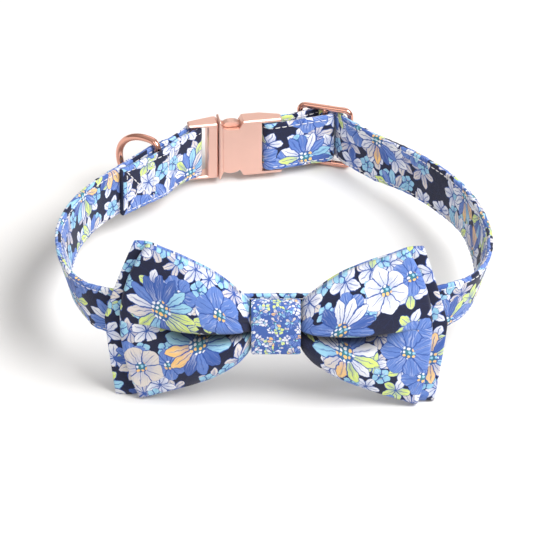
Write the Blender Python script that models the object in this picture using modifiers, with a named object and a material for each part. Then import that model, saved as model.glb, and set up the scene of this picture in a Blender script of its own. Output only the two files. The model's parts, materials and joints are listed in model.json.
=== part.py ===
"""Pet bow tie collar: a fabric covered strap with a side release buckle, slider, D ring and bow.

Everything is modelled in the collar's own frame: X to the right, Y to the back, Z up across the
strap's width, with the neck loop round the Z axis. The whole collar is then tilted and lifted so
that it stands by itself on the floor, on the slider at the back and on the bow's lower corners.
"""

import math

import bmesh
import bpy
import numpy as np
from mathutils import Matrix, Vector

MM = 0.001
DEGREE = math.pi / 180

# Gap that touching pieces keep, in millimetres like every size below
FIT_GAP = 0.3

# Neck loop, measured over the outside of the strap
LOOP_WIDTH = 160.0
LOOP_DEPTH = 129.0

# Places of the buckle's plug end, the slider and the D ring's bar: across and back, as shares of half
# the loop's width and depth
BUCKLE_PLACE = (-0.3975, 0.862)
SLIDER_PLACE = (0.24, 1.0822)
RING_PLACE = (-0.54, 0.6605)

# Strap
STRAP_WIDTH = 20.0
STRAP_THICKNESS = 2.0
STRAP_EDGE_BEVEL = 0.5
STRAP_FACET_SAG = 0.06
SEWN_BACK_LENGTH = 41.0
SLIDER_TAIL_LENGTH = 3.0
PINCH_RADIUS = 6.0

# Side release buckle
BUCKLE_HEIGHT = 23.2
BUCKLE_DEPTH = 6.6
BUCKLE_END_DEPTH = 4.2
BUCKLE_EDGE_BEVEL = 0.45
BUCKLE_BAR_RADIUS = 1.0
BUCKLE_BAR_SET_BACK = 2.1
BAR_END_INSET = 0.5
BUCKLE_BAR_FROM_END = 2.0
SOCKET_BAR_SPREAD = 1.9
BUCKLE_YAW = 10.0
WINDOW_CLEARANCE = 0.35
PLUG_LENGTH = 11.2
PLUG_WALL = 4.0
SOCKET_LENGTH = 23.9
SOCKET_BODY_LENGTH = 16.2
LIP_LENGTH = 1.8
LIP_STAND = 0.7
SOCKET_WALL = 1.5
SOCKET_FLOOR = 1.6
NOTCH_RADIUS = 3.7
NOTCH_FROM_LIP = 4.4
NOTCH_DEPTH = 3.0
NOTCH_RAMP = 3.4
ARM_WIDTH = 3.0
ARM_LENGTH = 13.2
ARM_BUTTON_RADIUS = 5.2
ARM_BUTTON_SINK = 0.5
ARM_BUTTON_SHIFT = 0.6

# Slider
SLIDER_LENGTH = 21.8
SLIDER_HEIGHT = 25.6
SLIDER_BAR_RADIUS = 1.1
SLIDER_CORNER_RADIUS = 3.4
SLIDER_YAW = -16.8

# D ring
RING_WIRE_RADIUS = 1.35
RING_REACH = 19.4
RING_SIDE_CLEARANCE = 0.6
RING_CORNER_RADIUS = 3.2
RING_YAW = 138.5

# Bow
CLOTH = 1.0
BACK_CLOTH = 1.2
BOW_AT_X = 0.7
BOW_STAND = 1.5
BOW_HALF_HEIGHT = 32.1
WAIST_CLEARANCE = 1.1
WAIST_FLARE = 1.6
WAIST_FLARE_SHARE = 0.12
WING_LENGTH = 46.5
BACK_EXTRA_LENGTH = 5.5
WING_FOLD_RADIUS = 1.0
PLEAT_DEPTH = 1.8
WING_PUFF = 3.6
CREASE_LEVEL = -0.04
KNOT_WIDTH = 17.8
KNOT_HEIGHT = 20.6
KNOT_WALL = 1.0
KNOT_CORNER_RADIUS = 2.0
ELASTIC_WIDTH = 7.0
ELASTIC_WALL = 0.7
ELASTIC_OFFSET = 22.0

# Centreline of the strap's top edge round the neck, from the D ring by the left side, the front and
# the right side to the slider: across and back, as shares of half the loop's width and depth, and
# how far the bottom edge leans in towards the neck there, as a share of the strap's width
LOOP_ROWS = (
    (-0.705, 0.470, 0.00),
    (-0.828, 0.275, 0.03),
    (-0.928, 0.045, 0.11),
    (-0.982, -0.205, 0.20),
    (-0.987, -0.395, 0.27),
    (-0.965, -0.600, 0.30),
    (-0.900, -0.790, 0.28),
    (-0.790, -0.905, 0.14),
    (-0.560, -0.966, 0.03),
    (-0.250, -0.983, 0.00),
    (0.000, -0.984, 0.00),
    (0.250, -0.983, 0.00),
    (0.520, -0.955, 0.03),
    (0.745, -0.895, 0.12),
    (0.900, -0.775, 0.28),
    (0.968, -0.595, 0.30),
    (0.988, -0.395, 0.27),
    (0.975, -0.190, 0.20),
    (0.930, 0.045, 0.11),
    (0.868, 0.240, 0.03),
    (0.770, 0.440, 0.00),
    (0.635, 0.640, -0.04),
    (0.480, 0.810, -0.03),
)

# How a wing widens from the waist to its end, how far its middle puffs out there, how deep its
# crease is, and how far the left and right wings bend forward, in millimetres
WING_COLUMNS = ("along", "rise", "puff", "crease", "left", "right")
WING_ROWS = (
    (0.00, 0.00, 0.00, 1.00, 0.0, 0.0),
    (0.04, 0.14, 0.15, 1.00, 0.0, 0.1),
    (0.12, 0.26, 0.40, 1.00, -0.6, -0.1),
    (0.23, 0.42, 0.70, 1.00, -1.4, -0.6),
    (0.38, 0.58, 0.95, 1.00, -2.4, -0.9),
    (0.54, 0.70, 1.00, 0.85, -3.5, -1.0),
    (0.70, 0.81, 0.85, 0.45, -4.5, -0.8),
    (0.86, 0.90, 0.55, 0.15, -5.4, -1.0),
    (1.00, 1.00, 0.25, 0.00, -6.2, -1.7),
)

# How far a wing's corners are drawn in from the middle of its end, as shares of its length
CORNER_DRAWN_IN = {
    ("front", "left"): {"upper": 0.208, "lower": 0.145},
    ("front", "right"): {"upper": 0.192, "lower": 0.109},
    ("back", "left"): {"upper": 0.210, "lower": 0.071},
    ("back", "right"): {"upper": 0.171, "lower": 0.086},
}

# How the drawing in of a wing's end grows with the level: 1 gives straight slanted ends
END_CURVE = {"front": 2.0, "back": 1.15}

# Stations across a wing's height, closer together at the middle pleat
ACROSS_WING = (-1.0, -0.82, -0.58, -0.34, -0.15, -0.04, 0.05, 0.22, 0.42, 0.64, 0.84, 1.0)


def wing_value(name, along):
    """A column of the wing table at a place along the wing."""
    table = np.array(WING_ROWS)
    return float(np.interp(along, table[:, 0], table[:, WING_COLUMNS.index(name)]))


def metres(x, y, z):
    return Vector((x * MM, y * MM, z * MM))


# Materials


def material(name, colour, roughness, metallic):
    made = bpy.data.materials.new(name)
    made.use_nodes = True
    shader = made.node_tree.nodes["Principled BSDF"]
    shader.inputs["Base Color"].default_value = (*colour, 1.0)
    shader.inputs["Roughness"].default_value = roughness
    shader.inputs["Metallic"].default_value = metallic
    made.diffuse_color = (*colour, 1.0)
    return made


def make_materials():
    return {
        "print_cotton": material("print_cotton", (0.19, 0.29, 0.55), 0.85, 0.0),
        "print_cotton_knot": material("print_cotton_knot", (0.30, 0.45, 0.62), 0.85, 0.0),
        "rose_gold_satin": material("rose_gold_satin", (0.86, 0.52, 0.43), 0.35, 1.0),
        "rose_gold_polished": material("rose_gold_polished", (0.80, 0.42, 0.33), 0.16, 1.0),
        "elastic_black": material("elastic_black", (0.03, 0.03, 0.04), 0.8, 0.0),
    }


# Building helpers


class Build:
    """The collections, the parent empty and the materials that every sub-part uses."""

    def __init__(self):
        self.parts = bpy.data.collections.new("pet_bow_tie_collar")
        self.cutters = bpy.data.collections.new("cutters")
        for group in (self.parts, self.cutters):
            bpy.context.scene.collection.children.link(group)
        self.materials = make_materials()
        self.frame = self.empty("collar_frame", None)

    def empty(self, name, parent):
        made = bpy.data.objects.new(name, None)
        made.empty_display_size = 0.02
        made.parent = parent
        self.parts.objects.link(made)
        return made

    def part(self, name, mesh, finish, parent):
        made = bpy.data.objects.new(name, mesh)
        mesh.materials.append(self.materials[finish])
        made.parent = parent
        self.parts.objects.link(made)
        return made

    def cutter(self, name, mesh, parent):
        made = bpy.data.objects.new(name, mesh)
        made.parent = parent
        made.display_type = "WIRE"
        made.hide_render = True
        self.cutters.objects.link(made)
        return made


def mesh_from(name, shape):
    """A mesh from a bmesh, with its faces pointing out."""
    bmesh.ops.recalc_face_normals(shape, faces=shape.faces)
    mesh = bpy.data.meshes.new(name)
    shape.to_mesh(mesh)
    shape.free()
    return mesh


def box_mesh(name, low, high):
    shape = bmesh.new()
    size = [(b - a) * MM for a, b in zip(low, high)]
    middle = metres(*[(a + b) / 2 for a, b in zip(low, high)])
    place = Matrix.Translation(middle) @ Matrix.Diagonal((*size, 1.0))
    bmesh.ops.create_cube(shape, size=1.0, matrix=place)
    return mesh_from(name, shape)


def post_mesh(name, radius, low, high, across, back, sides=12):
    """An upright round bar from one height to another."""
    shape = bmesh.new()
    place = Matrix.Translation(metres(across, back, (low + high) / 2))
    bmesh.ops.create_cone(
        shape,
        cap_ends=True,
        segments=sides,
        radius1=radius * MM,
        radius2=radius * MM,
        depth=(high - low) * MM,
        matrix=place,
    )
    return mesh_from(name, shape)


def prism_mesh(name, outline, low, high, plane):
    """A flat outline drawn out between two levels: plane XY goes up Z, plane XZ goes back along Y."""
    shape = bmesh.new()
    spot = {
        "XY": lambda point, level: metres(point[0], point[1], level),
        "XZ": lambda point, level: metres(point[0], level, point[1]),
    }[plane]
    base = [shape.verts.new(spot(point, low)) for point in outline]
    top = [shape.verts.new(spot(point, high)) for point in outline]
    shape.faces.new(base)
    shape.faces.new(top)
    for i in range(len(outline)):
        j = (i + 1) % len(outline)
        shape.faces.new((base[i], base[j], top[j], top[i]))
    return mesh_from(name, shape)


def combine(target, tool, operation):
    step = target.modifiers.new(f"{operation.lower()}_{tool.name}", "BOOLEAN")
    step.operation = operation
    step.object = tool


def soften(target, width, angle=50.0):
    bevel = target.modifiers.new("soft_edges", "BEVEL")
    bevel.width = width * MM
    bevel.segments = 1
    bevel.limit_method = "ANGLE"
    bevel.angle_limit = angle * DEGREE
    return bevel


def thicken(target, thickness):
    wall = target.modifiers.new("wall", "SOLIDIFY")
    wall.thickness = thickness * MM
    wall.offset = 0.0
    wall.use_even_offset = True
    return wall


# The strap's route in plan, as a belt round the bars


def headings_between(stops):
    """The heading of the belt on each straight run from one stop to the next."""
    headings = []
    for (ax, ay, ar), (bx, by, br) in zip(stops, stops[1:]):
        apart = math.hypot(bx - ax, by - ay)
        lean = max(-1.0, min(1.0, (br - ar) / apart))
        headings.append(math.atan2(by - ay, bx - ax) - math.asin(lean))
    return headings


def stops_touched(stops):
    """The stops without those that the belt passes clear of, where it would turn the wrong way."""
    stops = list(stops)
    while True:
        headings = headings_between(stops)
        for i in range(1, len(stops) - 1):
            turn = math.remainder(headings[i] - headings[i - 1], 2 * math.pi)
            if stops[i][2] * turn < 0 and abs(turn) < math.pi / 2:
                del stops[i]
                break
        else:
            return stops


def belt(stops):
    """The points of a belt round a row of stops, in plan.

    A stop is (x, y, radius), with a positive radius where the belt turns left round it, a negative
    one where it turns right, and zero where it only passes a point.
    """
    stops = stops_touched(stops)
    headings = headings_between(stops)
    points = []
    for i, (x, y, radius) in enumerate(stops):
        first = headings[max(i - 1, 0)]
        last = headings[min(i, len(headings) - 1)]
        turn = math.remainder(last - first, 2 * math.pi)
        if radius * turn < 0:
            turn += math.copysign(2 * math.pi, radius)
        steps = max(1, math.ceil(abs(turn) / (4 * DEGREE))) if radius else 0
        for k in range(steps + 1):
            heading = first + turn * k / max(steps, 1)
            points.append((x + radius * math.sin(heading), y - radius * math.cos(heading)))
    return points


def smooth_through(points, steps):
    """A Catmull-Rom curve through rows of numbers."""
    rows = [np.array(p) for p in points]
    rows = [2 * rows[0] - rows[1], *rows, 2 * rows[-1] - rows[-2]]
    made = []
    for a, b, c, d in zip(rows, rows[1:], rows[2:], rows[3:]):
        for k in range(steps):
            t = k / steps
            made.append(
                0.5 * (2 * b + (c - a) * t + (2 * a - 5 * b + 4 * c - d) * t**2
                       + (3 * b - a - 3 * c + d) * t**3)
            )
    made.append(rows[-2])
    return [tuple(p) for p in made]


def facet(points):
    """The route with only the points that keep it within the facet sag."""
    ax, ay = points[0][:2]
    run = Vector(points[-1][:2]) - Vector((ax, ay))
    worst, at = 0.0, 0
    for i, (x, y, _) in enumerate(points[1:-1], 1):
        here = Vector((x - ax, y - ay))
        share = max(0.0, min(1.0, here.dot(run) / max(run.length_squared, 1e-9)))
        away = (here - run * share).length
        if away > worst:
            worst, at = away, i
    if worst < STRAP_FACET_SAG:
        return [points[0], points[-1]]
    return facet(points[: at + 1])[:-1] + facet(points[at:])


def turned_place(x, y, yaw, along, out):
    """A point given along and out from a turned piece, in plan."""
    c, s = math.cos(yaw * DEGREE), math.sin(yaw * DEGREE)
    return x + along * c - out * s, y + along * s + out * c


def on_loop(place):
    """A place given as shares of half the loop's width and depth."""
    return place[0] * LOOP_WIDTH / 2, place[1] * LOOP_DEPTH / 2


def on_buckle(along, out):
    return turned_place(*on_loop(BUCKLE_PLACE), BUCKLE_YAW, along, out)


def on_slider(along, out):
    return turned_place(*on_loop(SLIDER_PLACE), SLIDER_YAW, along, out)


def buckle_length():
    return PLUG_LENGTH + FIT_GAP + SOCKET_LENGTH


def plug_bar():
    return on_buckle(BUCKLE_BAR_FROM_END, BUCKLE_BAR_SET_BACK)


def socket_bar():
    return on_buckle(buckle_length() - BUCKLE_BAR_FROM_END - SOCKET_BAR_SPREAD, BUCKLE_BAR_SET_BACK)


def slider_bar_pitch():
    return SLIDER_LENGTH / 2 - SLIDER_BAR_RADIUS


def wrap_radius(bar_radius, layers_inside=0):
    """Radius of the strap's centreline round a bar, with other layers under it."""
    return bar_radius + (layers_inside + 1) * FIT_GAP + (layers_inside + 0.5) * STRAP_THICKNESS


def loop_curve():
    """The strap round the neck: x, y and lean of each point."""
    half_width, half_depth = LOOP_WIDTH / 2, LOOP_DEPTH / 2
    return smooth_through([(a * half_width, b * half_depth, lean) for a, b, lean in LOOP_ROWS], 8)


def pinch_stops(start, end):
    """Stops that press the two sewn layers together midway between two bars."""
    middle = ((start[0] + end[0]) / 2, (start[1] + end[1]) / 2)
    along = math.atan2(end[1] - start[1], end[0] - start[0])
    reach = PINCH_RADIUS + (STRAP_THICKNESS + FIT_GAP) / 2
    side = (reach * math.sin(along), -reach * math.cos(along))
    right = (middle[0] + side[0], middle[1] + side[1], -PINCH_RADIUS)
    left = (middle[0] - side[0], middle[1] - side[1], -PINCH_RADIUS)
    return right, left


def sewn_end(curve):
    """Where the folded layer ends: beside the loop's curve, one layer nearer the neck."""
    ring = on_loop(RING_PLACE)
    bar = plug_bar()
    to_ring = math.hypot(ring[0] - bar[0], ring[1] - bar[1])
    left = SEWN_BACK_LENGTH - to_ring
    here = ring
    for following in curve:
        step = math.hypot(following[0] - here[0], following[1] - here[1])
        if step > left:
            break
        left -= step
        here = following
    heading = math.atan2(following[1] - here[1], following[0] - here[0])
    apart = STRAP_THICKNESS + FIT_GAP
    x = here[0] + left * math.cos(heading) - apart * math.sin(heading)
    y = here[1] + left * math.sin(heading) + apart * math.cos(heading)
    return x, y


def strap_route():
    """The whole strap in plan, from the sewn end by the buckle, the neck and the slider to its other end."""
    curve = loop_curve()
    plug = (*plug_bar(), wrap_radius(BUCKLE_BAR_RADIUS))
    ring = (*on_loop(RING_PLACE), wrap_radius(RING_WIRE_RADIUS))
    inner, outer = pinch_stops(ring, plug)
    fold = belt([(*sewn_end(curve), 0.0), ring, inner, plug, outer, ring, (*curve[0][:2], 0.0)])

    pitch = slider_bar_pitch()
    near = wrap_radius(SLIDER_BAR_RADIUS)
    second = wrap_radius(SLIDER_BAR_RADIUS, 1)
    right_bar = (*on_slider(pitch, 0), -near)
    over_loop = (*on_slider(0, 0), second)
    left_bar = (*on_slider(-pitch, 0), -near)
    socket = (*socket_bar(), wrap_radius(BUCKLE_BAR_RADIUS))
    under_left = (*on_slider(-pitch, 0), second)
    centre_bar = (*on_slider(0, 0), near)
    tail = (*on_slider(-SLIDER_TAIL_LENGTH, near - SLIDER_TAIL_LENGTH / 2), 0.0)
    adjuster = belt(
        [(*curve[-1][:2], 0.0), right_bar, over_loop, left_bar, socket, under_left, centre_bar, tail]
    )
    return [(x, y, curve[0][2]) for x, y in fold] + curve[1:-1] + [(x, y, 0.0) for x, y in adjuster]


def make_strap(build):
    shape = bmesh.new()
    half = STRAP_WIDTH / 2
    route = facet(strap_route())
    rows = []
    for i, (x, y, lean) in enumerate(route):
        before, after = route[max(i - 1, 0)], route[min(i + 1, len(route) - 1)]
        heading = math.atan2(after[1] - before[1], after[0] - before[0])
        set_in = lean * STRAP_WIDTH
        foot = (x - set_in * math.sin(heading), y + set_in * math.cos(heading), -half)
        rows.append((shape.verts.new(metres(*foot)), shape.verts.new(metres(x, y, half))))
    for before, after in zip(rows, rows[1:]):
        shape.faces.new((before[0], after[0], after[1], before[1]))
    strap = build.part("strap", mesh_from("strap", shape), "print_cotton", build.frame)
    thicken(strap, STRAP_THICKNESS)
    soften(strap, STRAP_EDGE_BEVEL, 60.0)


# Side release buckle, in its own frame: X along it from the plug's end, Y out from the neck


def window_half():
    return STRAP_WIDTH / 2 + WINDOW_CLEARANCE


def make_plug(build, place):
    half = BUCKLE_HEIGHT / 2
    outline = (
        (0.0, 0.0),
        (PLUG_LENGTH, 0.0),
        (PLUG_LENGTH, BUCKLE_DEPTH),
        (PLUG_LENGTH - LIP_LENGTH, BUCKLE_DEPTH),
        (0.0, BUCKLE_END_DEPTH),
    )
    plug = build.part(
        "buckle_plug", prism_mesh("buckle_plug", outline, -half, half, "XY"), "rose_gold_satin", place
    )
    window = build.cutter(
        "plug_window",
        box_mesh(
            "plug_window",
            (-1.0, -1.0, -window_half()),
            (PLUG_LENGTH - PLUG_WALL, BUCKLE_DEPTH + 1.0, window_half()),
        ),
        place,
    )
    combine(plug, window, "DIFFERENCE")
    soften(plug, BUCKLE_EDGE_BEVEL)
    bar = build.cutter(
        "plug_bar",
        post_mesh("plug_bar", BUCKLE_BAR_RADIUS, -half + BAR_END_INSET, half - BAR_END_INSET,
                  BUCKLE_BAR_FROM_END, BUCKLE_BAR_SET_BACK),
        place,
    )
    combine(plug, bar, "UNION")
    for side, name in ((1, "upper"), (-1, "lower")):
        arm = build.cutter(f"{name}_arm", arm_mesh(f"{name}_arm", side), place)
        combine(plug, arm, "UNION")


def arm_room():
    """Half the height and the two depths of the room for the arms inside the socket."""
    half = BUCKLE_HEIGHT / 2 - SOCKET_WALL - FIT_GAP
    return half, SOCKET_FLOOR + FIT_GAP, BUCKLE_DEPTH - SOCKET_FLOOR - FIT_GAP


def arm_mesh(name, side):
    """A sprung arm: a straight leg with a round thumb button that shows in the socket's notch."""
    top, near, far = arm_room()
    start = PLUG_LENGTH - 1.0
    end = PLUG_LENGTH + ARM_LENGTH
    button = PLUG_LENGTH + FIT_GAP + NOTCH_FROM_LIP + ARM_BUTTON_SHIFT
    crest = BUCKLE_HEIGHT / 2 - ARM_BUTTON_SINK
    centre = crest - ARM_BUTTON_RADIUS
    reach = math.sqrt(ARM_BUTTON_RADIUS**2 - (top - centre) ** 2)
    first = math.atan2(top - centre, reach)
    outline = [(start, top - ARM_WIDTH), (end, top - ARM_WIDTH), (end, top)]
    for k in range(7):
        angle = first + (math.pi - 2 * first) * k / 6
        outline.append(
            (button + ARM_BUTTON_RADIUS * math.cos(angle), centre + ARM_BUTTON_RADIUS * math.sin(angle))
        )
    outline.append((start, top))
    return prism_mesh(name, [(x, side * z) for x, z in outline], near, far, "XZ")


def notch_mesh(name, side):
    """A thumb notch: half a circle towards the lip and a ramp away from it."""
    start = PLUG_LENGTH + FIT_GAP + NOTCH_FROM_LIP
    level = BUCKLE_HEIGHT / 2
    above = level + LIP_STAND + 2.0
    outline = [(start - NOTCH_RADIUS, above)]
    for k in range(7):
        angle = math.pi + (math.pi / 2) * k / 6
        outline.append((start + NOTCH_RADIUS * math.cos(angle), level + NOTCH_DEPTH * math.sin(angle)))
    outline.append((start + NOTCH_RADIUS * 0.9, level - NOTCH_DEPTH))
    outline.append((start + NOTCH_RADIUS * 0.9 + NOTCH_RAMP, above))
    return prism_mesh(name, [(x, side * z) for x, z in outline], -2.0, BUCKLE_DEPTH + 2.0, "XZ")


def make_socket(build, place):
    half = BUCKLE_HEIGHT / 2
    mouth = PLUG_LENGTH + FIT_GAP
    end = mouth + SOCKET_LENGTH
    window_start = mouth + SOCKET_BODY_LENGTH
    outline = (
        (mouth, 0.0),
        (end, 0.0),
        (end, BUCKLE_END_DEPTH),
        (window_start, BUCKLE_DEPTH),
        (mouth, BUCKLE_DEPTH),
    )
    socket = build.part(
        "buckle_socket", prism_mesh("buckle_socket", outline, -half, half, "XY"), "rose_gold_satin", place
    )
    soften(socket, BUCKLE_EDGE_BEVEL)
    lip = build.cutter(
        "socket_lip",
        box_mesh(
            "socket_lip",
            (mouth, -LIP_STAND / 2, -half - LIP_STAND),
            (mouth + LIP_LENGTH, BUCKLE_DEPTH + LIP_STAND / 2, half + LIP_STAND),
        ),
        place,
    )
    soften(lip, BUCKLE_EDGE_BEVEL)
    combine(socket, lip, "UNION")
    for side, name in ((1, "upper"), (-1, "lower")):
        notch = build.cutter(f"{name}_notch", notch_mesh(f"{name}_notch", side), place)
        combine(socket, notch, "DIFFERENCE")
    room = build.cutter(
        "socket_room",
        box_mesh(
            "socket_room",
            (mouth - 1.0, SOCKET_FLOOR, -half + SOCKET_WALL),
            (mouth + SOCKET_BODY_LENGTH - SOCKET_WALL, BUCKLE_DEPTH - SOCKET_FLOOR, half - SOCKET_WALL),
        ),
        place,
    )
    combine(socket, room, "DIFFERENCE")
    window = build.cutter(
        "socket_window",
        box_mesh(
            "socket_window",
            (window_start, -1.0, -window_half()),
            (end + 1.0, BUCKLE_DEPTH + 1.0, window_half()),
        ),
        place,
    )
    combine(socket, window, "DIFFERENCE")
    outer_end = end - BUCKLE_BAR_FROM_END
    inner_end = outer_end - SOCKET_BAR_SPREAD
    flat_bar = arc(inner_end, BUCKLE_BAR_SET_BACK, BUCKLE_BAR_RADIUS, BUCKLE_BAR_RADIUS, 90, 270, 5)
    flat_bar += arc(outer_end, BUCKLE_BAR_SET_BACK, BUCKLE_BAR_RADIUS, BUCKLE_BAR_RADIUS, 270, 450, 5)
    bar_half = half - BAR_END_INSET
    bar = build.cutter("socket_bar", prism_mesh("socket_bar", flat_bar, -bar_half, bar_half, "XY"), place)
    combine(socket, bar, "UNION")


def make_buckle(build):
    place = build.empty("buckle_place", build.frame)
    place.location = metres(*on_loop(BUCKLE_PLACE), 0.0)
    place.rotation_euler = (0.0, 0.0, BUCKLE_YAW * DEGREE)
    make_plug(build, place)
    make_socket(build, place)


# Wire pieces


def wire_mesh(name, points, radius):
    """A closed round wire through points, as a mesh."""
    data = bpy.data.curves.new(name, "CURVE")
    data.dimensions = "3D"
    data.bevel_depth = radius * MM
    data.bevel_resolution = 2
    line = data.splines.new("POLY")
    line.points.add(len(points) - 1)
    for spot, point in zip(line.points, points):
        spot.co = (*metres(*point), 1.0)
    line.use_cyclic_u = True
    holder = bpy.data.objects.new(name, data)
    bpy.context.scene.collection.objects.link(holder)
    bpy.context.view_layer.update()
    shown = holder.evaluated_get(bpy.context.evaluated_depsgraph_get())
    mesh = bpy.data.meshes.new_from_object(shown)
    bpy.data.objects.remove(holder)
    bpy.data.curves.remove(data)
    return mesh


def arc(across, up, radius_across, radius_up, start, end, steps):
    """Points of an arc in the piece's own X and Z, from one angle to another in degrees."""
    made = []
    for k in range(steps + 1):
        angle = (start + (end - start) * k / steps) * DEGREE
        made.append((across + radius_across * math.cos(angle), up + radius_up * math.sin(angle)))
    return made


def make_slider(build):
    place = build.empty("slider_place", build.frame)
    place.location = metres(*on_loop(SLIDER_PLACE), 0.0)
    place.rotation_euler = (0.0, 0.0, SLIDER_YAW * DEGREE)
    half_length = SLIDER_LENGTH / 2 - SLIDER_BAR_RADIUS
    half_height = SLIDER_HEIGHT / 2 - SLIDER_BAR_RADIUS
    corner = SLIDER_CORNER_RADIUS - SLIDER_BAR_RADIUS
    outline = []
    for across, up, start in ((1, 1, 0), (-1, 1, 90), (-1, -1, 180), (1, -1, 270)):
        outline += arc(
            across * (half_length - corner), up * (half_height - corner), corner, corner, start, start + 90, 3
        )
    frame = wire_mesh("slider", [(x, 0.0, z) for x, z in outline], SLIDER_BAR_RADIUS)
    slider = build.part("slider", frame, "rose_gold_polished", place)
    bar = build.cutter(
        "slider_centre_bar",
        post_mesh("slider_centre_bar", SLIDER_BAR_RADIUS * 0.96, -half_height, half_height, 0.0, 0.0, 10),
        place,
    )
    combine(slider, bar, "UNION")


def make_ring(build):
    place = build.empty("d_ring_axis", build.frame)
    place.location = metres(*on_loop(RING_PLACE), 0.0)
    place.rotation_euler = (0.0, 0.0, RING_YAW * DEGREE)
    half = STRAP_WIDTH / 2 + RING_SIDE_CLEARANCE + RING_WIRE_RADIUS
    corner = RING_CORNER_RADIUS
    outline = arc(corner, corner - half, corner, corner, 180, 270, 3)
    outline += arc(corner, 0.0, RING_REACH - corner, half, -90, 90, 16)[1:-1]
    outline += arc(corner, half - corner, corner, corner, 90, 180, 3)
    wire = wire_mesh("d_ring", [(x, 0.0, z) for x, z in outline], RING_WIRE_RADIUS)
    build.part("d_ring", wire, "rose_gold_polished", place)


# Bow, in front of the strap: depths are measured forward from the strap's outer face


def strap_front():
    """How far forward of the loop's middle the strap's outer face is, at the front."""
    return LOOP_DEPTH / 2 * max(-back for _, back, _ in LOOP_ROWS) + STRAP_THICKNESS / 2


def layer_depths():
    """Middle depth of each layer at the waist, from the strap forwards."""
    knot_back = BOW_STAND + KNOT_WALL
    back = knot_back + FIT_GAP + BACK_CLOTH / 2
    loop_back = back + BACK_CLOTH / 2 + FIT_GAP + CLOTH / 2
    loop_front = loop_back + CLOTH + FIT_GAP
    knot_front = loop_front + PLEAT_DEPTH + CLOTH / 2 + FIT_GAP + KNOT_WALL
    return {"back": back, "loop_back": loop_back, "loop_front": loop_front, "knot_front": knot_front}


def lobes(level, crease):
    """The two lobes either side of the middle crease, which closes as crease goes to 0."""
    from_crease = level - CREASE_LEVEL
    reach = 1 - CREASE_LEVEL if from_crease > 0 else 1 + CREASE_LEVEL
    share = min(abs(from_crease) / reach, 1.0)
    two = math.sin(math.pi * share**0.55) ** 0.8 if share < 1 else 0.0
    one = math.cos(math.pi / 2 * share) ** 0.8 if share < 1 else 0.0
    return crease * two + (1 - crease) * one


def waist_half_height():
    return KNOT_HEIGHT / 2 - KNOT_WALL - WAIST_CLEARANCE


def wing_point(side, panel, along, level, depth):
    """A point of a panel of a wing.

    It is placed by its share of the front panel's length, its share of the height, and its depth.
    """
    name = "right" if side > 0 else "left"
    drawn_in = CORNER_DRAWN_IN[panel, name]["upper" if level > 0 else "lower"]
    out = along * WING_LENGTH * (1 - drawn_in * abs(level) ** END_CURVE[panel])
    height = waist_half_height() + (BOW_HALF_HEIGHT - waist_half_height()) * wing_value("rise", along)
    flare = WAIST_FLARE * min(along / WAIST_FLARE_SHARE, 1.0)
    forward = depth + flare + wing_value(name, out / WING_LENGTH)
    return BOW_AT_X + side * (KNOT_WIDTH / 2 + out), -(strap_front() + forward), level * height


def front_depth(along, level):
    """Depth of the front panel: the waist's pleat and the wing's puff over the flat cloth."""
    puff = wing_value("puff", along)
    crease = wing_value("crease", along)
    fullness = PLEAT_DEPTH * crease + WING_PUFF * puff
    return layer_depths()["loop_front"] + fullness * lobes(level, crease)


def closed_rows(shape, rows):
    for i, row in enumerate(rows):
        following = rows[(i + 1) % len(rows)]
        for a, b, c, d in zip(row, row[1:], following[1:], following):
            shape.faces.new((a, b, c, d))


def make_bow_front(build):
    """A band of cloth: the front panel, a fold at each wing's end and the back panel behind."""
    depths = layer_depths()
    stations = [row[0] for row in WING_ROWS]
    rows = []

    def add(side, along, depth_at, reach=0.0):
        row = []
        for level in ACROSS_WING:
            x, y, z = wing_point(side, "front", along, level, depth_at(level))
            row.append((x + side * reach, y, z))
        rows.append(row)

    def end_fold(side):
        """The round fold from the front panel to the back panel."""
        for angle in (135, 180, 225):
            share = (1 + math.cos(angle * DEGREE)) / 2
            reach = -WING_FOLD_RADIUS * math.cos(angle * DEGREE) if angle == 180 else WING_FOLD_RADIUS * 0.7
            mix = (angle - 90) / 180
            add(side, 1.0, lambda v: (1 - mix) * front_depth(1.0, v) + mix * depths["loop_back"], reach)

    for along in stations:
        add(1, along, lambda v, a=along: front_depth(a, v))
    end_fold(1)
    for along in reversed(stations):
        add(1, along, lambda v: depths["loop_back"])
    for along in stations:
        add(-1, along, lambda v: depths["loop_back"])
    rows_before = len(rows)
    end_fold(-1)
    rows[rows_before:] = rows[rows_before:][::-1]
    for along in reversed(stations):
        add(-1, along, lambda v, a=along: front_depth(a, v))
    shape = bmesh.new()
    closed_rows(shape, [[shape.verts.new(metres(*point)) for point in row] for row in rows])
    bow = build.part("bow_front", mesh_from("bow_front", shape), "print_cotton", build.frame)
    thicken(bow, CLOTH)


def make_bow_back(build):
    depths = layer_depths()
    stations = [row[0] for row in WING_ROWS] + [1 + BACK_EXTRA_LENGTH / WING_LENGTH]
    shape = bmesh.new()
    rows = []
    for side, along in [(-1, share) for share in reversed(stations)] + [(1, share) for share in stations]:
        rows.append(
            [
                shape.verts.new(metres(*wing_point(side, "back", along, level, depths["back"])))
                for level in ACROSS_WING
            ]
        )
    for row, following in zip(rows, rows[1:]):
        for a, b, c, d in zip(row, row[1:], following[1:], following):
            shape.faces.new((a, b, c, d))
    bow = build.part("bow_back", mesh_from("bow_back", shape), "print_cotton", build.frame)
    thicken(bow, BACK_CLOTH)


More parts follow.
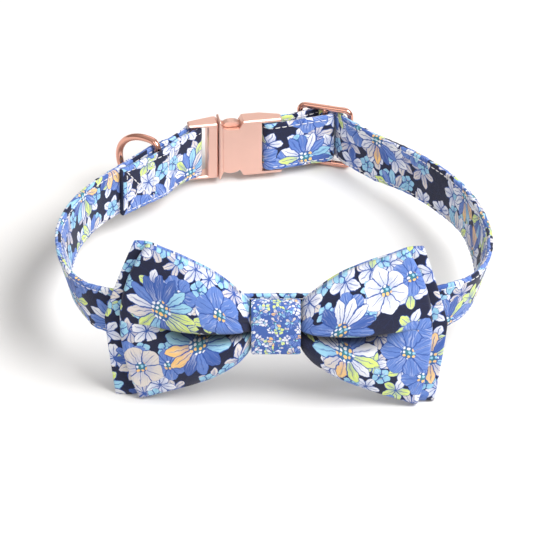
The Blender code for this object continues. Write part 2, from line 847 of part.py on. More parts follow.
def band_mesh(name, width, low, high, near, far, corner, across):
    """A flat band round a rounded rectangle in Y and Z, as an open sleeve along X."""
    shape = bmesh.new()
    outline = []
    for back, up, start in ((1, 1, 0), (-1, 1, 90), (-1, -1, 180), (1, -1, 270)):
        centre_back = near + corner if back < 0 else far - corner
        centre_up = high - corner if up > 0 else low + corner
        outline += arc(centre_back, centre_up, corner, corner, start, start + 90, 3)
    rows = [
        [shape.verts.new(metres(x, y, z)) for x in (across - width / 2, across, across + width / 2)]
        for y, z in outline
    ]
    closed_rows(shape, rows)
    return mesh_from(name, shape)


def make_knot(build):
    depths = layer_depths()
    half = (KNOT_HEIGHT - KNOT_WALL) / 2
    near = -(strap_front() + depths["knot_front"] - KNOT_WALL / 2)
    far = -(strap_front() + BOW_STAND + KNOT_WALL / 2)
    mesh = band_mesh("bow_knot", KNOT_WIDTH, -half, half, near, far, KNOT_CORNER_RADIUS, BOW_AT_X)
    knot = build.part("bow_knot", mesh, "print_cotton_knot", build.frame)
    thicken(knot, KNOT_WALL)


def make_elastics(build):
    """Two plain elastic loops round the strap, behind the wings."""
    half = STRAP_WIDTH / 2 + FIT_GAP + ELASTIC_WALL / 2
    outside = strap_front() + FIT_GAP + ELASTIC_WALL / 2
    inside = strap_front() - STRAP_THICKNESS - 2 * FIT_GAP - ELASTIC_WALL / 2
    for side, name in ((-1, "bow_elastic_left"), (1, "bow_elastic_right")):
        mesh = band_mesh(
            name, ELASTIC_WIDTH, -half, half, -outside, -inside, 1.0, BOW_AT_X + side * ELASTIC_OFFSET
        )
        loop = build.part(name, mesh, "elastic_black", build.frame)
        thicken(loop, ELASTIC_WALL)


# Standing on the floor


def shown_points(build):
    """Every point of the finished parts, in world space."""
    bpy.context.view_layer.update()
    graph = bpy.context.evaluated_depsgraph_get()
    points = []
    for part in build.parts.objects:
        if part.type != "MESH":
            continue
        shown = part.evaluated_get(graph)
        mesh = shown.to_mesh()
        points += [part.matrix_world @ vertex.co for vertex in mesh.vertices]
        shown.to_mesh_clear()
    return np.array([tuple(p) for p in points])


def resting_tilt(points):
    """The angle that lays the support line under the collar's middle on the floor.

    Seen from the side, the collar stands on the lowest points in front of and behind its middle.
    """
    middle = points[:, 1].mean()
    order = points[np.argsort(points[:, 1])][:, 1:]
    hull = []
    for point in order:
        while len(hull) > 1:
            (ay, az), (by, bz) = hull[-2], hull[-1]
            if (by - ay) * (point[1] - az) - (bz - az) * (point[0] - ay) > 0:
                break
            hull.pop()
        hull.append(tuple(point))
    for (ay, az), (by, bz) in zip(hull, hull[1:]):
        if ay <= middle < by:
            return -math.atan2(bz - az, by - ay)
    return 0.0


def stand_on_floor(build):
    build.frame.rotation_euler = (resting_tilt(shown_points(build)), 0.0, 0.0)
    points = shown_points(build)
    low, high = points.min(axis=0), points.max(axis=0)
    build.frame.location = (-(low[0] + high[0]) / 2, -(low[1] + high[1]) / 2, -low[2])


def shade(build):
    for part in build.parts.objects:
        if part.type == "MESH":
            part.data.shade_smooth()
            part.data.set_sharp_from_angle(angle=35 * DEGREE)


def main():
    for old in list(bpy.data.objects):
        bpy.data.objects.remove(old, do_unlink=True)
    build = Build()
    make_strap(build)
    make_buckle(build)
    make_slider(build)
    make_ring(build)
    make_bow_front(build)
    make_bow_back(build)
    make_knot(build)
    make_elastics(build)
    shade(build)
    stand_on_floor(build)


main()
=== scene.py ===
"""The looks of the pet bow tie collar: printed cotton, stitching, rose gold metal, floor and light.

Sizes are in millimetres in the collar's own frame, as in the part's source: X to the right, Y to
the back, Z up across the strap. The frame's place in the row comes from the D ring's hinge.
"""

import json
import math

import bmesh
import bpy
import numpy as np
from mathutils import Matrix, Vector, noise


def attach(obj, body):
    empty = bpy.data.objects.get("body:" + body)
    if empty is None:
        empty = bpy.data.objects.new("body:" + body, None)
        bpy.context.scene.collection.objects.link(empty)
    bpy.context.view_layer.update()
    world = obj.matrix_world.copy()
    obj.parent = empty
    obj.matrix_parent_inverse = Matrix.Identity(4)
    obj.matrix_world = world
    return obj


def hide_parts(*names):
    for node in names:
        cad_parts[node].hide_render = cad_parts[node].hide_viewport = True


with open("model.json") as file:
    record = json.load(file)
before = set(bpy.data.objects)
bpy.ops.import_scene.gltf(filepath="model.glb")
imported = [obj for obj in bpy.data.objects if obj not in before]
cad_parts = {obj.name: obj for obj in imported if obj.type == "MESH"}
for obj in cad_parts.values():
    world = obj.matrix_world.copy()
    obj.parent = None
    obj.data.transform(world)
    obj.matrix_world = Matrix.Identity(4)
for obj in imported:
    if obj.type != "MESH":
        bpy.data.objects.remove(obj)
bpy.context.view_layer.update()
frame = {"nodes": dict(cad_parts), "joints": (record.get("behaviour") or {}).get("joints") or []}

MM = 0.001
DEGREE = math.pi / 180
FIT_GAP = 0.3

# Strap and its route, as in the part's source
LOOP_WIDTH = 160.0
LOOP_DEPTH = 129.0
STRAP_WIDTH = 20.0
STRAP_THICKNESS = 2.0
STRAP_EDGE_ROUNDING = 0.75
STRAP_STEP = 1.2
EDGE_DRAW = 0.35
EDGE_RIPPLE = 0.22
FLAT_SHARE = 0.55
SEWN_BACK_LENGTH = 41.0
SLIDER_TAIL_LENGTH = 3.0
PINCH_RADIUS = 6.0

BUCKLE_LENGTH = 35.4
BUCKLE_BAR_RADIUS = 1.0
BUCKLE_BAR_SET_BACK = 2.1
BUCKLE_BAR_FROM_END = 2.0
SOCKET_BAR_SPREAD = 1.9
BUCKLE_YAW = 10.0
BUCKLE_PLACE = (-0.3975, 0.862)

SLIDER_LENGTH = 21.8
SLIDER_HEIGHT = 25.6
SLIDER_BAR_RADIUS = 1.1
SLIDER_CORNER_RADIUS = 3.4
SLIDER_YAW = -16.8
SLIDER_PLACE = (0.24, 1.0822)

RING_WIRE_RADIUS = 1.35
RING_REACH = 19.4
RING_SIDE_CLEARANCE = 0.6
RING_CORNER_RADIUS = 3.2
RING_PLACE = (-0.54, 0.6605)
RING_YAW = 138.5

# Bow, as in the part's source
CLOTH = 1.0
BACK_CLOTH = 1.2
BOW_AT_X = 0.7
BOW_STAND = 1.5
BOW_HALF_HEIGHT = 32.1
WAIST_CLEARANCE = 1.1
WAIST_FLARE = 1.6
WAIST_FLARE_SHARE = 0.12
WING_LENGTH = 46.5
BACK_EXTRA_LENGTH = 5.5
WING_FOLD_RADIUS = 1.0
PLEAT_DEPTH = 1.8
WING_PUFF = 3.6
KNOT_WIDTH = 17.8
KNOT_HEIGHT = 20.6
KNOT_WALL = 1.0
KNOT_CORNER_RADIUS = 2.0

# Centreline of the strap's top edge round the neck: across and back, as shares of half the loop's
# width and depth, and how far the bottom edge leans in, as a share of the strap's width
LOOP_ROWS = (
    (-0.705, 0.470, 0.00),
    (-0.828, 0.275, 0.03),
    (-0.928, 0.045, 0.11),
    (-0.982, -0.205, 0.20),
    (-0.987, -0.395, 0.27),
    (-0.965, -0.600, 0.30),
    (-0.900, -0.790, 0.28),
    (-0.790, -0.905, 0.14),
    (-0.560, -0.966, 0.03),
    (-0.250, -0.983, 0.00),
    (0.000, -0.984, 0.00),
    (0.250, -0.983, 0.00),
    (0.520, -0.955, 0.03),
    (0.745, -0.895, 0.12),
    (0.900, -0.775, 0.28),
    (0.968, -0.595, 0.30),
    (0.988, -0.395, 0.27),
    (0.975, -0.190, 0.20),
    (0.930, 0.045, 0.11),
    (0.868, 0.240, 0.03),
    (0.770, 0.440, 0.00),
    (0.635, 0.640, -0.04),
    (0.480, 0.810, -0.03),
)

# How a wing widens, puffs out and creases along its length, and how far each wing bends forward
WING_COLUMNS = ("along", "rise", "puff", "crease", "left", "right")
WING_ROWS = (
    (0.00, 0.00, 0.00, 1.00, 0.0, 0.0),
    (0.04, 0.14, 0.15, 1.00, 0.0, 0.1),
    (0.12, 0.26, 0.40, 1.00, -0.6, -0.1),
    (0.23, 0.42, 0.70, 1.00, -1.4, -0.6),
    (0.38, 0.58, 0.95, 1.00, -2.4, -0.9),
    (0.54, 0.70, 1.00, 0.85, -3.5, -1.0),
    (0.70, 0.81, 0.85, 0.45, -4.5, -0.8),
    (0.86, 0.90, 0.55, 0.15, -5.4, -1.0),
    (1.00, 1.00, 0.25, 0.00, -6.2, -1.7),
)

# How far a wing's corners are drawn in from the middle of its end, as shares of its length
CORNER_DRAWN_IN = {
    ("front", "left"): {"upper": 0.208, "lower": 0.145},
    ("front", "right"): {"upper": 0.192, "lower": 0.109},
    ("back", "left"): {"upper": 0.210, "lower": 0.071},
    ("back", "right"): {"upper": 0.171, "lower": 0.086},
}

# How the drawing in of a wing's end grows with the level: 1 gives straight slanted ends
END_CURVE = {"front": 2.0, "back": 1.15}

# A pleated wing's cross-section from its top edge to its bottom edge: the level as a share of half
# the height, the depth as a share of the puff, the level without the pleat, and the painted shade
# in the crease
PLEAT_ROWS = (
    (1.00, 0.00, 1.00, 0.0),
    (0.88, 0.42, 0.88, 0.0),
    (0.66, 0.88, 0.66, 0.0),
    (0.42, 1.12, 0.42, 0.0),
    (0.18, 1.20, 0.22, 0.0),
    (0.02, 1.06, 0.10, 0.3),
    (-0.06, 0.66, 0.05, 1.0),
    (-0.02, 0.00, 0.03, 1.0),
    (0.01, -0.28, 0.01, 1.0),
    (-0.04, -0.30, -0.01, 1.0),
    (-0.09, -0.12, -0.04, 1.0),
    (-0.13, 0.10, -0.08, 1.0),
    (-0.24, 0.48, -0.20, 0.7),
    (-0.42, 0.80, -0.42, 0.0),
    (-0.66, 0.80, -0.66, 0.0),
    (-0.88, 0.42, -0.88, 0.0),
    (-1.00, 0.00, -1.00, 0.0),
)
PLEAT_TUCK = 8
PLEAT_STEPS = 4
# Painted shade beside the knot, in place of its shadow on the wings: how dark it is at the knot, and the
# share of the wing's length over which it fades
PAINTED_KNOT_SHADE = 0.6
PAINTED_KNOT_SHADE_REACH = 0.07
# How much the painted shade darkens the cloth's colour at its darkest
PAINTED_FOLD_SHADE_STRENGTH = 0.88
GATHER = 1.5
BOW_WALL = 0.4
BOW_STATIONS = 34
PANEL_LEVELS = 24
BACK_PRINT_SHIFT = (37.0, 11.0)

# How far the knot's band is rolled in at its side edges, how far from each edge the roll reaches, and how
# far its front bows out, in millimetres
KNOT_EDGE_ROLL = 0.45
KNOT_EDGE_ROLL_REACH = 0.9
KNOT_CROWN = 0.5

# Colours of the cloth and metal, as sRGB shares
INK = {
    "navy": (0.120, 0.135, 0.235),
    "periwinkle": (0.385, 0.510, 0.785),
    "deep_blue": (0.270, 0.385, 0.665),
    "aqua": (0.600, 0.800, 0.890),
    "lime": (0.835, 0.900, 0.500),
    "cream": (0.855, 0.825, 0.800),
    "white": (0.905, 0.912, 0.935),
    "peach": (0.960, 0.785, 0.500),
    "teal": (0.230, 0.500, 0.540),
    "line_blue": (0.215, 0.340, 0.640),
}
THREAD = (0.95, 0.94, 0.93)

# Plated metals: the colour, the roughness and the strength of the relief
SATIN_GOLD = ((0.948, 0.774, 0.715), 0.34, 0.15)
POLISHED_GOLD = ((0.92, 0.68, 0.605), 0.08, 0.04)

# Stitching: a seam along each edge, and a sewn box with a cross and one more line by the D ring
THREAD_RADIUS = 0.18
BOX_THREAD_RADIUS = 0.23
STITCH_LENGTH = 2.1
STITCH_GAP = 0.5
BOX_STITCH_GAP = 0.45
SEAM_INSET = 1.7
SEAM_END = 1.0
SEAM_STEP = 1.5
BOX_START = 1.8
BOX_END = 15.0
LAST_LINE = 22.5

# A stitch along its length: the place as a share, its thickness as a share, and its rise
STITCH_ROWS = (
    (0.0, 0.35, -0.1),
    (0.2, 0.9, 0.10),
    (0.5, 1.0, 0.16),
    (0.8, 0.9, 0.10),
    (1.0, 0.35, -0.1),
)
STITCH_SIDES = 6
WIRE_SIDES = 20
BAR_STEPS = 12

# The four corners of a rounded rectangle, turning left: across, up and where its arc starts
CORNERS = ((1, 1, 0), (-1, 1, 90), (-1, -1, 180), (1, -1, 270))


def metres(x, y, z):
    return Vector((x * MM, y * MM, z * MM))


def on_loop(place):
    """A place given as shares of half the loop's width and depth."""
    return place[0] * LOOP_WIDTH / 2, place[1] * LOOP_DEPTH / 2


BUCKLE_AT = on_loop(BUCKLE_PLACE)
SLIDER_AT = on_loop(SLIDER_PLACE)
RING_AT = on_loop(RING_PLACE)


def linear(colour):
    """An sRGB colour as the linear values that the shaders take."""
    return tuple(c / 12.92 if c <= 0.04045 else ((c + 0.055) / 1.055) ** 2.4 for c in colour)


def collar_frame():
    """The collar's own frame in the row, found from the D ring's hinge."""
    hinge = frame["joints"][0]
    up = Vector(hinge["axis"]).normalized()
    right = Vector((1.0, 0.0, 0.0))
    turn = Matrix((right, up.cross(right), up)).transposed()
    at = Vector(hinge["pos_m"]) - turn @ metres(*RING_AT, 0.0)
    return Matrix.Translation(at) @ turn.to_4x4()


COLLAR = collar_frame()


# Mesh helpers


def add_object(name, data):
    made = bpy.data.objects.new(name, data)
    bpy.context.scene.collection.objects.link(made)
    return made


def add_piece(name, shape, material, body="collar"):
    """A shown piece from a bmesh in the collar's frame, in metres, riding on a body."""
    mesh = bpy.data.meshes.new(name)
    shape.transform(COLLAR)
    shape.to_mesh(mesh)
    shape.free()
    mesh.materials.append(material)
    mesh.shade_smooth()
    piece = add_object(name, mesh)
    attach(piece, body)
    return piece


def skin(rows, closed_rows, closed_across, uv_rows, painted_shade_rows=None):
    """A surface through rows of points, with its cloth coordinates in millimetres.

    A second map holds the painted shade of each point, which darkens the cloth in folds, where that is
    given.
    """
    shape = bmesh.new()
    verts = [[shape.verts.new(metres(*point)) for point in row] for row in rows]
    cloth = shape.loops.layers.uv.new("cloth")
    # The fold map carries painted shade: how much the cloth's colour is darkened in the crease and beside
    # the knot
    fold = shape.loops.layers.uv.new("fold")
    count, width = len(rows), len(rows[0])
    for i in range(count if closed_rows else count - 1):
        for j in range(width if closed_across else width - 1):
            i2, j2 = (i + 1) % count, (j + 1) % width
            face = shape.faces.new((verts[i][j], verts[i2][j], verts[i2][j2], verts[i][j2]))
            for loop, (row, column) in zip(face.loops, ((i, j), (i + 1, j), (i + 1, j + 1), (i, j + 1))):
                loop[cloth].uv = uv_rows[row][column]
                if painted_shade_rows:
                    loop[fold].uv = (painted_shade_rows[row][column % width], 0.0)
    return shape


def cap(shape, width, row):
    """Closes one end of a tube of points with a face."""
    shape.verts.ensure_lookup_table()
    return shape.faces.new([shape.verts[row * width + j] for j in range(width)])


def tube(shape, rings, loop=False):
    """Faces between rings of vertices, with both ends closed unless it is a loop."""
    sides = len(rings[0])
    for one, two in zip(rings, rings[1:] + rings[:1] if loop else rings[1:]):
        for k in range(sides):
            shape.faces.new((one[k], two[k], two[(k + 1) % sides], one[(k + 1) % sides]))
    if not loop:
        shape.faces.new(rings[0])
        shape.faces.new(rings[-1][::-1])


def circle(sides):
    angles = [2 * math.pi * k / sides for k in range(sides)]
    return [(math.cos(angle), math.sin(angle)) for angle in angles]


def gone_along(points):
    """The length gone at each of a row of points."""
    return np.cumsum([0.0] + [math.dist(a, b) for a, b in zip(points, points[1:])])


def row_at(length, lengths, rows):
    """The row at a length, between the rows of a table."""
    return [float(np.interp(length, lengths, column)) for column in rows.T]


def arc(across, up, radius, start, end, steps):
    made = []
    for k in range(steps + 1):
        angle = (start + (end - start) * k / steps) * DEGREE
        made.append((across + radius * math.cos(angle), up + radius * math.sin(angle)))
    return made


# The strap's route in plan, as a belt round the bars


def headings_between(stops):
    headings = []
    for (ax, ay, ar), (bx, by, br) in zip(stops, stops[1:]):
        apart = math.hypot(bx - ax, by - ay)
        lean = max(-1.0, min(1.0, (br - ar) / apart))
        headings.append(math.atan2(by - ay, bx - ax) - math.asin(lean))
    return headings


def stops_touched(stops):
    """The stops without those that the belt passes clear of."""
    stops = list(stops)
    while True:
        headings = headings_between(stops)
        for i in range(1, len(stops) - 1):
            turn = math.remainder(headings[i] - headings[i - 1], 2 * math.pi)
            if stops[i][2] * turn < 0 and abs(turn) < math.pi / 2:
                del stops[i]
                break
        else:
            return stops


def belt(stops):
    """The points of a belt round stops given as x, y and a radius, positive where it turns left."""
    stops = stops_touched(stops)
    headings = headings_between(stops)
    points = []
    for i, (x, y, radius) in enumerate(stops):
        first = headings[max(i - 1, 0)]
        last = headings[min(i, len(headings) - 1)]
        turn = math.remainder(last - first, 2 * math.pi)
        if radius * turn < 0:
            turn += math.copysign(2 * math.pi, radius)
        steps = max(1, math.ceil(abs(turn) / (8 * DEGREE))) if radius else 0
        for k in range(steps + 1):
            heading = first + turn * k / max(steps, 1)
            points.append((x + radius * math.sin(heading), y - radius * math.cos(heading)))
    return points


def smooth_through(points, steps):
    """A Catmull-Rom curve through rows of numbers."""
    rows = [np.array(p, float) for p in points]
    rows = [2 * rows[0] - rows[1], *rows, 2 * rows[-1] - rows[-2]]
    made = []
    for a, b, c, d in zip(rows, rows[1:], rows[2:], rows[3:]):
        for k in range(steps):
            t = k / steps
            made.append(
                0.5 * (2 * b + (c - a) * t + (2 * a - 5 * b + 4 * c - d) * t**2
                       + (3 * b - a - 3 * c + d) * t**3)
            )
    made.append(rows[-2])
    return [tuple(float(x) for x in p) for p in made]


def turned_place(at, yaw, along, out):
    """A point given along and out from a turned piece, in plan."""
    c, s = math.cos(yaw * DEGREE), math.sin(yaw * DEGREE)
    return at[0] + along * c - out * s, at[1] + along * s + out * c


def on_buckle(along, out):
    return turned_place(BUCKLE_AT, BUCKLE_YAW, along, out)


def on_slider(along, out):
    return turned_place(SLIDER_AT, SLIDER_YAW, along, out)


def wrap_radius(bar_radius, layers_inside=0):
    """Radius of the strap's centreline round a bar, with other layers under it."""
    return bar_radius + (layers_inside + 1) * FIT_GAP + (layers_inside + 0.5) * STRAP_THICKNESS


def pinch_stops(start, end):
    """Stops that press the two sewn layers together midway between two bars."""
    middle = ((start[0] + end[0]) / 2, (start[1] + end[1]) / 2)
    along = math.atan2(end[1] - start[1], end[0] - start[0])
    reach = PINCH_RADIUS + (STRAP_THICKNESS + FIT_GAP) / 2
    side = (reach * math.sin(along), -reach * math.cos(along))
    right = (middle[0] + side[0], middle[1] + side[1], -PINCH_RADIUS)
    left = (middle[0] - side[0], middle[1] - side[1], -PINCH_RADIUS)
    return right, left


def sewn_end(curve, bar):
    """Where the folded layer ends: beside the loop's curve, one layer nearer the neck."""
    left = SEWN_BACK_LENGTH - math.hypot(RING_AT[0] - bar[0], RING_AT[1] - bar[1])
    here = RING_AT
    for following in curve:
        step = math.hypot(following[0] - here[0], following[1] - here[1])
        if step > left:
            break
        left -= step
        here = following
    heading = math.atan2(following[1] - here[1], following[0] - here[0])
    apart = STRAP_THICKNESS + FIT_GAP
    x = here[0] + left * math.cos(heading) - apart * math.sin(heading)
    y = here[1] + left * math.sin(heading) + apart * math.cos(heading)
    return x, y


def strap_route():
    """The whole strap in plan with its lean, from the sewn end to the tail at the slider."""
    half_width, half_depth = LOOP_WIDTH / 2, LOOP_DEPTH / 2
    curve = smooth_through([(a * half_width, b * half_depth, lean) for a, b, lean in LOOP_ROWS], 8)
    plug_bar = on_buckle(BUCKLE_BAR_FROM_END, BUCKLE_BAR_SET_BACK)
    socket_end = BUCKLE_LENGTH - BUCKLE_BAR_FROM_END - SOCKET_BAR_SPREAD
    socket_bar = on_buckle(socket_end, BUCKLE_BAR_SET_BACK)
    plug = (*plug_bar, wrap_radius(BUCKLE_BAR_RADIUS))
    ring = (*RING_AT, wrap_radius(RING_WIRE_RADIUS))
    inner, outer = pinch_stops(ring, plug)
    sewn = (*sewn_end(curve, plug_bar), 0.0)
    fold = belt([sewn, ring, inner, plug, outer, ring, (*curve[0][:2], 0.0)])
    pitch = SLIDER_LENGTH / 2 - SLIDER_BAR_RADIUS
    near = wrap_radius(SLIDER_BAR_RADIUS)
    second = wrap_radius(SLIDER_BAR_RADIUS, 1)
    adjuster = belt(
        [
            (*curve[-1][:2], 0.0),
            (*on_slider(pitch, 0), -near),
            (*on_slider(0, 0), second),
            (*on_slider(-pitch, 0), -near),
            (*socket_bar, wrap_radius(BUCKLE_BAR_RADIUS)),
            (*on_slider(-pitch, 0), second),
            (*on_slider(0, 0), near),
            (*on_slider(-SLIDER_TAIL_LENGTH, near - SLIDER_TAIL_LENGTH / 2), 0.0),
        ]
    )
    return [(x, y, curve[0][2]) for x, y in fold] + curve[1:-1] + [(x, y, 0.0) for x, y in adjuster]


class Route:
    """The strap's route by length: places, lean and the direction to the neck."""

    def __init__(self, points):
        kept = [points[0]]
        for point in points[1:]:
            if math.hypot(point[0] - kept[-1][0], point[1] - kept[-1][1]) > 0.05:
                kept.append(point)
        self.rows = np.array(kept)
        steps = np.hypot(*np.diff(self.rows[:, :2], axis=0).T)
        self.lengths = np.concatenate([[0.0], np.cumsum(steps)])
        self.length = float(self.lengths[-1])

    def at(self, length):
        return row_at(length, self.lengths, self.rows)

    def heading(self, length, reach=0.35):
        ahead = self.at(min(length + reach, self.length))
        behind = self.at(max(length - reach, 0.0))
        return math.atan2(ahead[1] - behind[1], ahead[0] - behind[0])

    def point(self, length, height, inward):
        """A place on the strap: along it, up across its width, and inwards from its middle."""
        x, y, lean = self.at(length)
        heading = self.heading(length)
        share = 0.5 - height / STRAP_WIDTH
        shift = lean * STRAP_WIDTH * share + inward
        return x - shift * math.sin(heading), y + shift * math.cos(heading), height

    def stations(self):
        """Lengths along the route, close together where it turns."""
        made = [0.0]
        for length, following in zip(self.lengths, self.lengths[1:]):
            parts = max(1, math.ceil((following - length) / STRAP_STEP))
            made += [length + (following - length) * (k + 1) / parts for k in range(parts)]
        return made


ROUTE = Route(strap_route())


def strap_section():
    """The strap's cross-section as height and inward pairs, rounded at its edges."""
    half_width, half_thick = STRAP_WIDTH / 2, STRAP_THICKNESS / 2
    r = STRAP_EDGE_ROUNDING
    across = [share * (half_width - r) for share in (0.86, 0.6, 0.3, 0.0, -0.3, -0.6, -0.86)]
    outline = arc(half_width - r, half_thick - r, r, 0, 90, 4)
    outline += [(height, half_thick) for height in across]
    outline += arc(r - half_width, half_thick - r, r, 90, 180, 4)
    outline += arc(r - half_width, r - half_thick, r, 180, 270, 4)
    outline += [(height, -half_thick) for height in reversed(across)]
    outline += arc(half_width - r, r - half_thick, r, 270, 360, 4)
    return outline


def puckered(length, height, inward):
    """A point of the section moved a little, as the stitching draws the strap's edges in."""
    edge = max(0.0, abs(height) / (STRAP_WIDTH / 2) - FLAT_SHARE) / (1 - FLAT_SHARE)
    side = 9.0 if height > 0 else 0.0
    draw = noise.noise(Vector((length * 0.42, side, 2.0)))
    ripple = noise.noise(Vector((length * 0.55, side, 7.0)))
    drawn_in = math.copysign(EDGE_DRAW * edge * (0.5 + draw), height)
    return height - drawn_in, inward + EDGE_RIPPLE * edge * ripple


def make_strap(material, painted_shade_end_material):
    section = strap_section()
    around = gone_along(section + section[:1])
    rows, uv_rows = [], []
    for length in ROUTE.stations():
        rows.append([ROUTE.point(length, *puckered(length, *place)) for place in section])
        uv_rows.append([(length, float(v)) for v in around])
    shape = skin(rows, False, True, uv_rows)
    # The end faces get the cloth's navy ground, darkened to near black as painted shade for the gap at the
    # layer's end
    for row in (0, len(rows) - 1):
        cap(shape, len(section), row).material_index = 1
    bmesh.ops.recalc_face_normals(shape, faces=shape.faces)
    strap = add_piece("strap_cloth", shape, material)
    strap.data.materials.append(painted_shade_end_material)
    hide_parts("strap")


# Bow


def wing_value(name, along):
    """A column of the wing table at a place along the wing, eased between its rows."""
    table = np.array(WING_ROWS)
    spots = np.clip(along + np.linspace(-0.05, 0.05, 5) * min(1.0, along / 0.05), 0.0, 1.2)
    return float(np.interp(spots, table[:, 0], table[:, WING_COLUMNS.index(name)]).mean())


def strap_front():
    return LOOP_DEPTH / 2 * max(-back for _, back, _ in LOOP_ROWS) + STRAP_THICKNESS / 2


def layer_depths():
    """Middle depth of each layer at the waist, from the strap forwards."""
    knot_back = BOW_STAND + KNOT_WALL
    back = knot_back + FIT_GAP + BACK_CLOTH / 2
    loop_back = back + BACK_CLOTH / 2 + FIT_GAP + CLOTH / 2
    loop_front = loop_back + CLOTH + FIT_GAP
    knot_front = loop_front + PLEAT_DEPTH + CLOTH / 2 + FIT_GAP + KNOT_WALL
    return {"back": back, "loop_back": loop_back, "loop_front": loop_front, "knot_front": knot_front}


DEPTHS = layer_depths()


def wing_point(side, panel, along, level, depth, reach=0.0):
    """A point of a panel of a wing, from its shares of the length and height, and its depth."""
    name = "right" if side > 0 else "left"
    waist = KNOT_HEIGHT / 2 - KNOT_WALL - WAIST_CLEARANCE
    drawn_in = CORNER_DRAWN_IN[panel, name]["upper" if level > 0 else "lower"]
    out = along * WING_LENGTH * (1 - drawn_in * abs(level) ** END_CURVE[panel])
    height = waist + (BOW_HALF_HEIGHT - waist) * wing_value("rise", along)
    flare = WAIST_FLARE * min(along / WAIST_FLARE_SHARE, 1.0)
    forward = depth + flare + wing_value(name, out / WING_LENGTH)
    across = BOW_AT_X + side * (KNOT_WIDTH / 2 + out + reach)
    return across, -(strap_front() + forward), level * height


def pleat_profile(along):
    """The front panel's section at a place along the wing: levels, depths and painted shades, from the
    top.
    """
    crease = wing_value("crease", along)
    puff = PLEAT_DEPTH * crease + WING_PUFF * wing_value("puff", along)
    rows = []
    for level, depth, plain, shade in PLEAT_ROWS:
        arch = math.cos(math.pi / 2 * abs(plain)) ** 0.75
        level = plain + (level - plain) * crease
        rows.append((level, puff * (arch + (depth - arch) * crease), shade * crease))
    return smooth_through(rows, PLEAT_STEPS)


def painted_fold_shades(along, count):
    """How much painted shade each point of a ring gets, in the crease and beside the knot."""
    painted_shade_by_knot = PAINTED_KNOT_SHADE * max(0.0, 1 - along / PAINTED_KNOT_SHADE_REACH)
    painted_shades = [max(min(1.0, shade), painted_shade_by_knot) for _, _, shade in pleat_profile(along)]
    return painted_shades + [painted_shade_by_knot] * (count - len(painted_shades))


def gather(side, along, level):
    """Small soft folds that fan out from the knot."""
    fade = max(0.0, 1.0 - along / 0.75) * min(1.0, along / 0.03)
    at = Vector((side * 3.1 + along * 1.6, level * 5.0, 0.0))
    return fade * GATHER * noise.noise(at) * (1 - level**2)


def front_ring(side, along, reach=0.0, close=0.0):
    """One ring of the front loop: its front from the top down, then its back from the bottom up."""
    profile = pleat_profile(along)
    middle = (DEPTHS["loop_front"] + DEPTHS["loop_back"]) / 2
    ring = []
    for level, depth, _ in profile:
        front = DEPTHS["loop_front"] + CLOTH / 2 + depth + gather(side, along, level)
        ring.append(wing_point(side, "front", along, level, front + (middle - front) * close, reach))
    for level, _, _ in reversed(profile):
        back = DEPTHS["loop_back"] - CLOTH / 2
        ring.append(wing_point(side, "front", along, level, back + (middle - back) * close, reach))
    return ring


def back_ring(side, along, reach=0.0, close=0.0):
    """One ring of the flat panel behind."""
    levels = [1 - 2 * k / PANEL_LEVELS for k in range(PANEL_LEVELS + 1)]
    half = BACK_CLOTH / 2 * (1 - close)
    ring = []
    for sign, order in ((1, levels), (-1, levels[::-1])):
        for level in order:
            wave = 0.5 * noise.noise(Vector((side * 7.7 + along * 2.2, level * 1.6, 4.0)))
            depth = DEPTHS["back"] + wave * min(1.0, along) + sign * half
            ring.append(wing_point(side, "back", along, level, depth, reach))
    return ring


def ring_uvs(ring, side, along, shift, tuck):
    """Cloth coordinates of a ring: measured from its top and bottom edges towards the pleat."""
    count = len(ring) // 2
    down = gone_along(ring[:count])
    u = side * (KNOT_WIDTH / 2 + along * WING_LENGTH) + shift[0]
    half = BOW_HALF_HEIGHT + 1.0
    front, back = [], []
    for j, gone in enumerate(down):
        left = down[-1] - gone
        front.append(half - gone if j <= tuck else left - half)
        back.append(half + gone if j <= count // 2 else -half - left)
    values = [(u, v + shift[1]) for v in front + back[::-1]]
    return values + values[:1]


def loft_bow(name, ring_at, last, shift, tuck, material, node):
    """A flattened tube of cloth from the left wing's end by the waist to the right wing's end."""
    spots = [last * (k / BOW_STATIONS) ** 1.15 for k in range(BOW_STATIONS + 1)]
    ends = [(last, WING_FOLD_RADIUS * math.sin(a), 1 - math.cos(a)) for a in (0.5, 1.0, math.pi / 2)]
    half = [(spot, 0.0, 0.0) for spot in spots] + ends
    order = [(-1, *station) for station in reversed(half)] + [(1, *station) for station in half]
    rows, uv_rows, painted_shade_rows = [], [], []
    for side, along, reach, close in order:
        ring = ring_at(side, along, reach, close)
        rows.append(ring)
        # Painted shade goes only on the front loop, in its crease and beside the knot
        painted_shade_rows.append(painted_fold_shades(along, len(ring)) if ring_at is front_ring else [0.0] * len(ring))
        uv_rows.append(ring_uvs(ring, side, along + reach / WING_LENGTH, shift, tuck))
    shape = skin(rows, False, True, uv_rows, painted_shade_rows)
    bmesh.ops.remove_doubles(shape, verts=shape.verts, dist=1e-7)
    bmesh.ops.recalc_face_normals(shape, faces=shape.faces)
    bow = add_piece(name, shape, material)
    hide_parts(node)
    wall = bow.modifiers.new("wall", "SOLIDIFY")
    wall.thickness = BOW_WALL * MM
    wall.offset = -1.0


def make_bow(front_material, back_material):
    tuck = PLEAT_TUCK * PLEAT_STEPS
    loft_bow("bow_front_cloth", front_ring, 1.0, (0.0, 0.0), tuck, front_material, "bow_front")
    last = 1 + BACK_EXTRA_LENGTH / WING_LENGTH
    tuck = PANEL_LEVELS + 1
    loft_bow("bow_back_cloth", back_ring, last, BACK_PRINT_SHIFT, tuck, back_material, "bow_back")


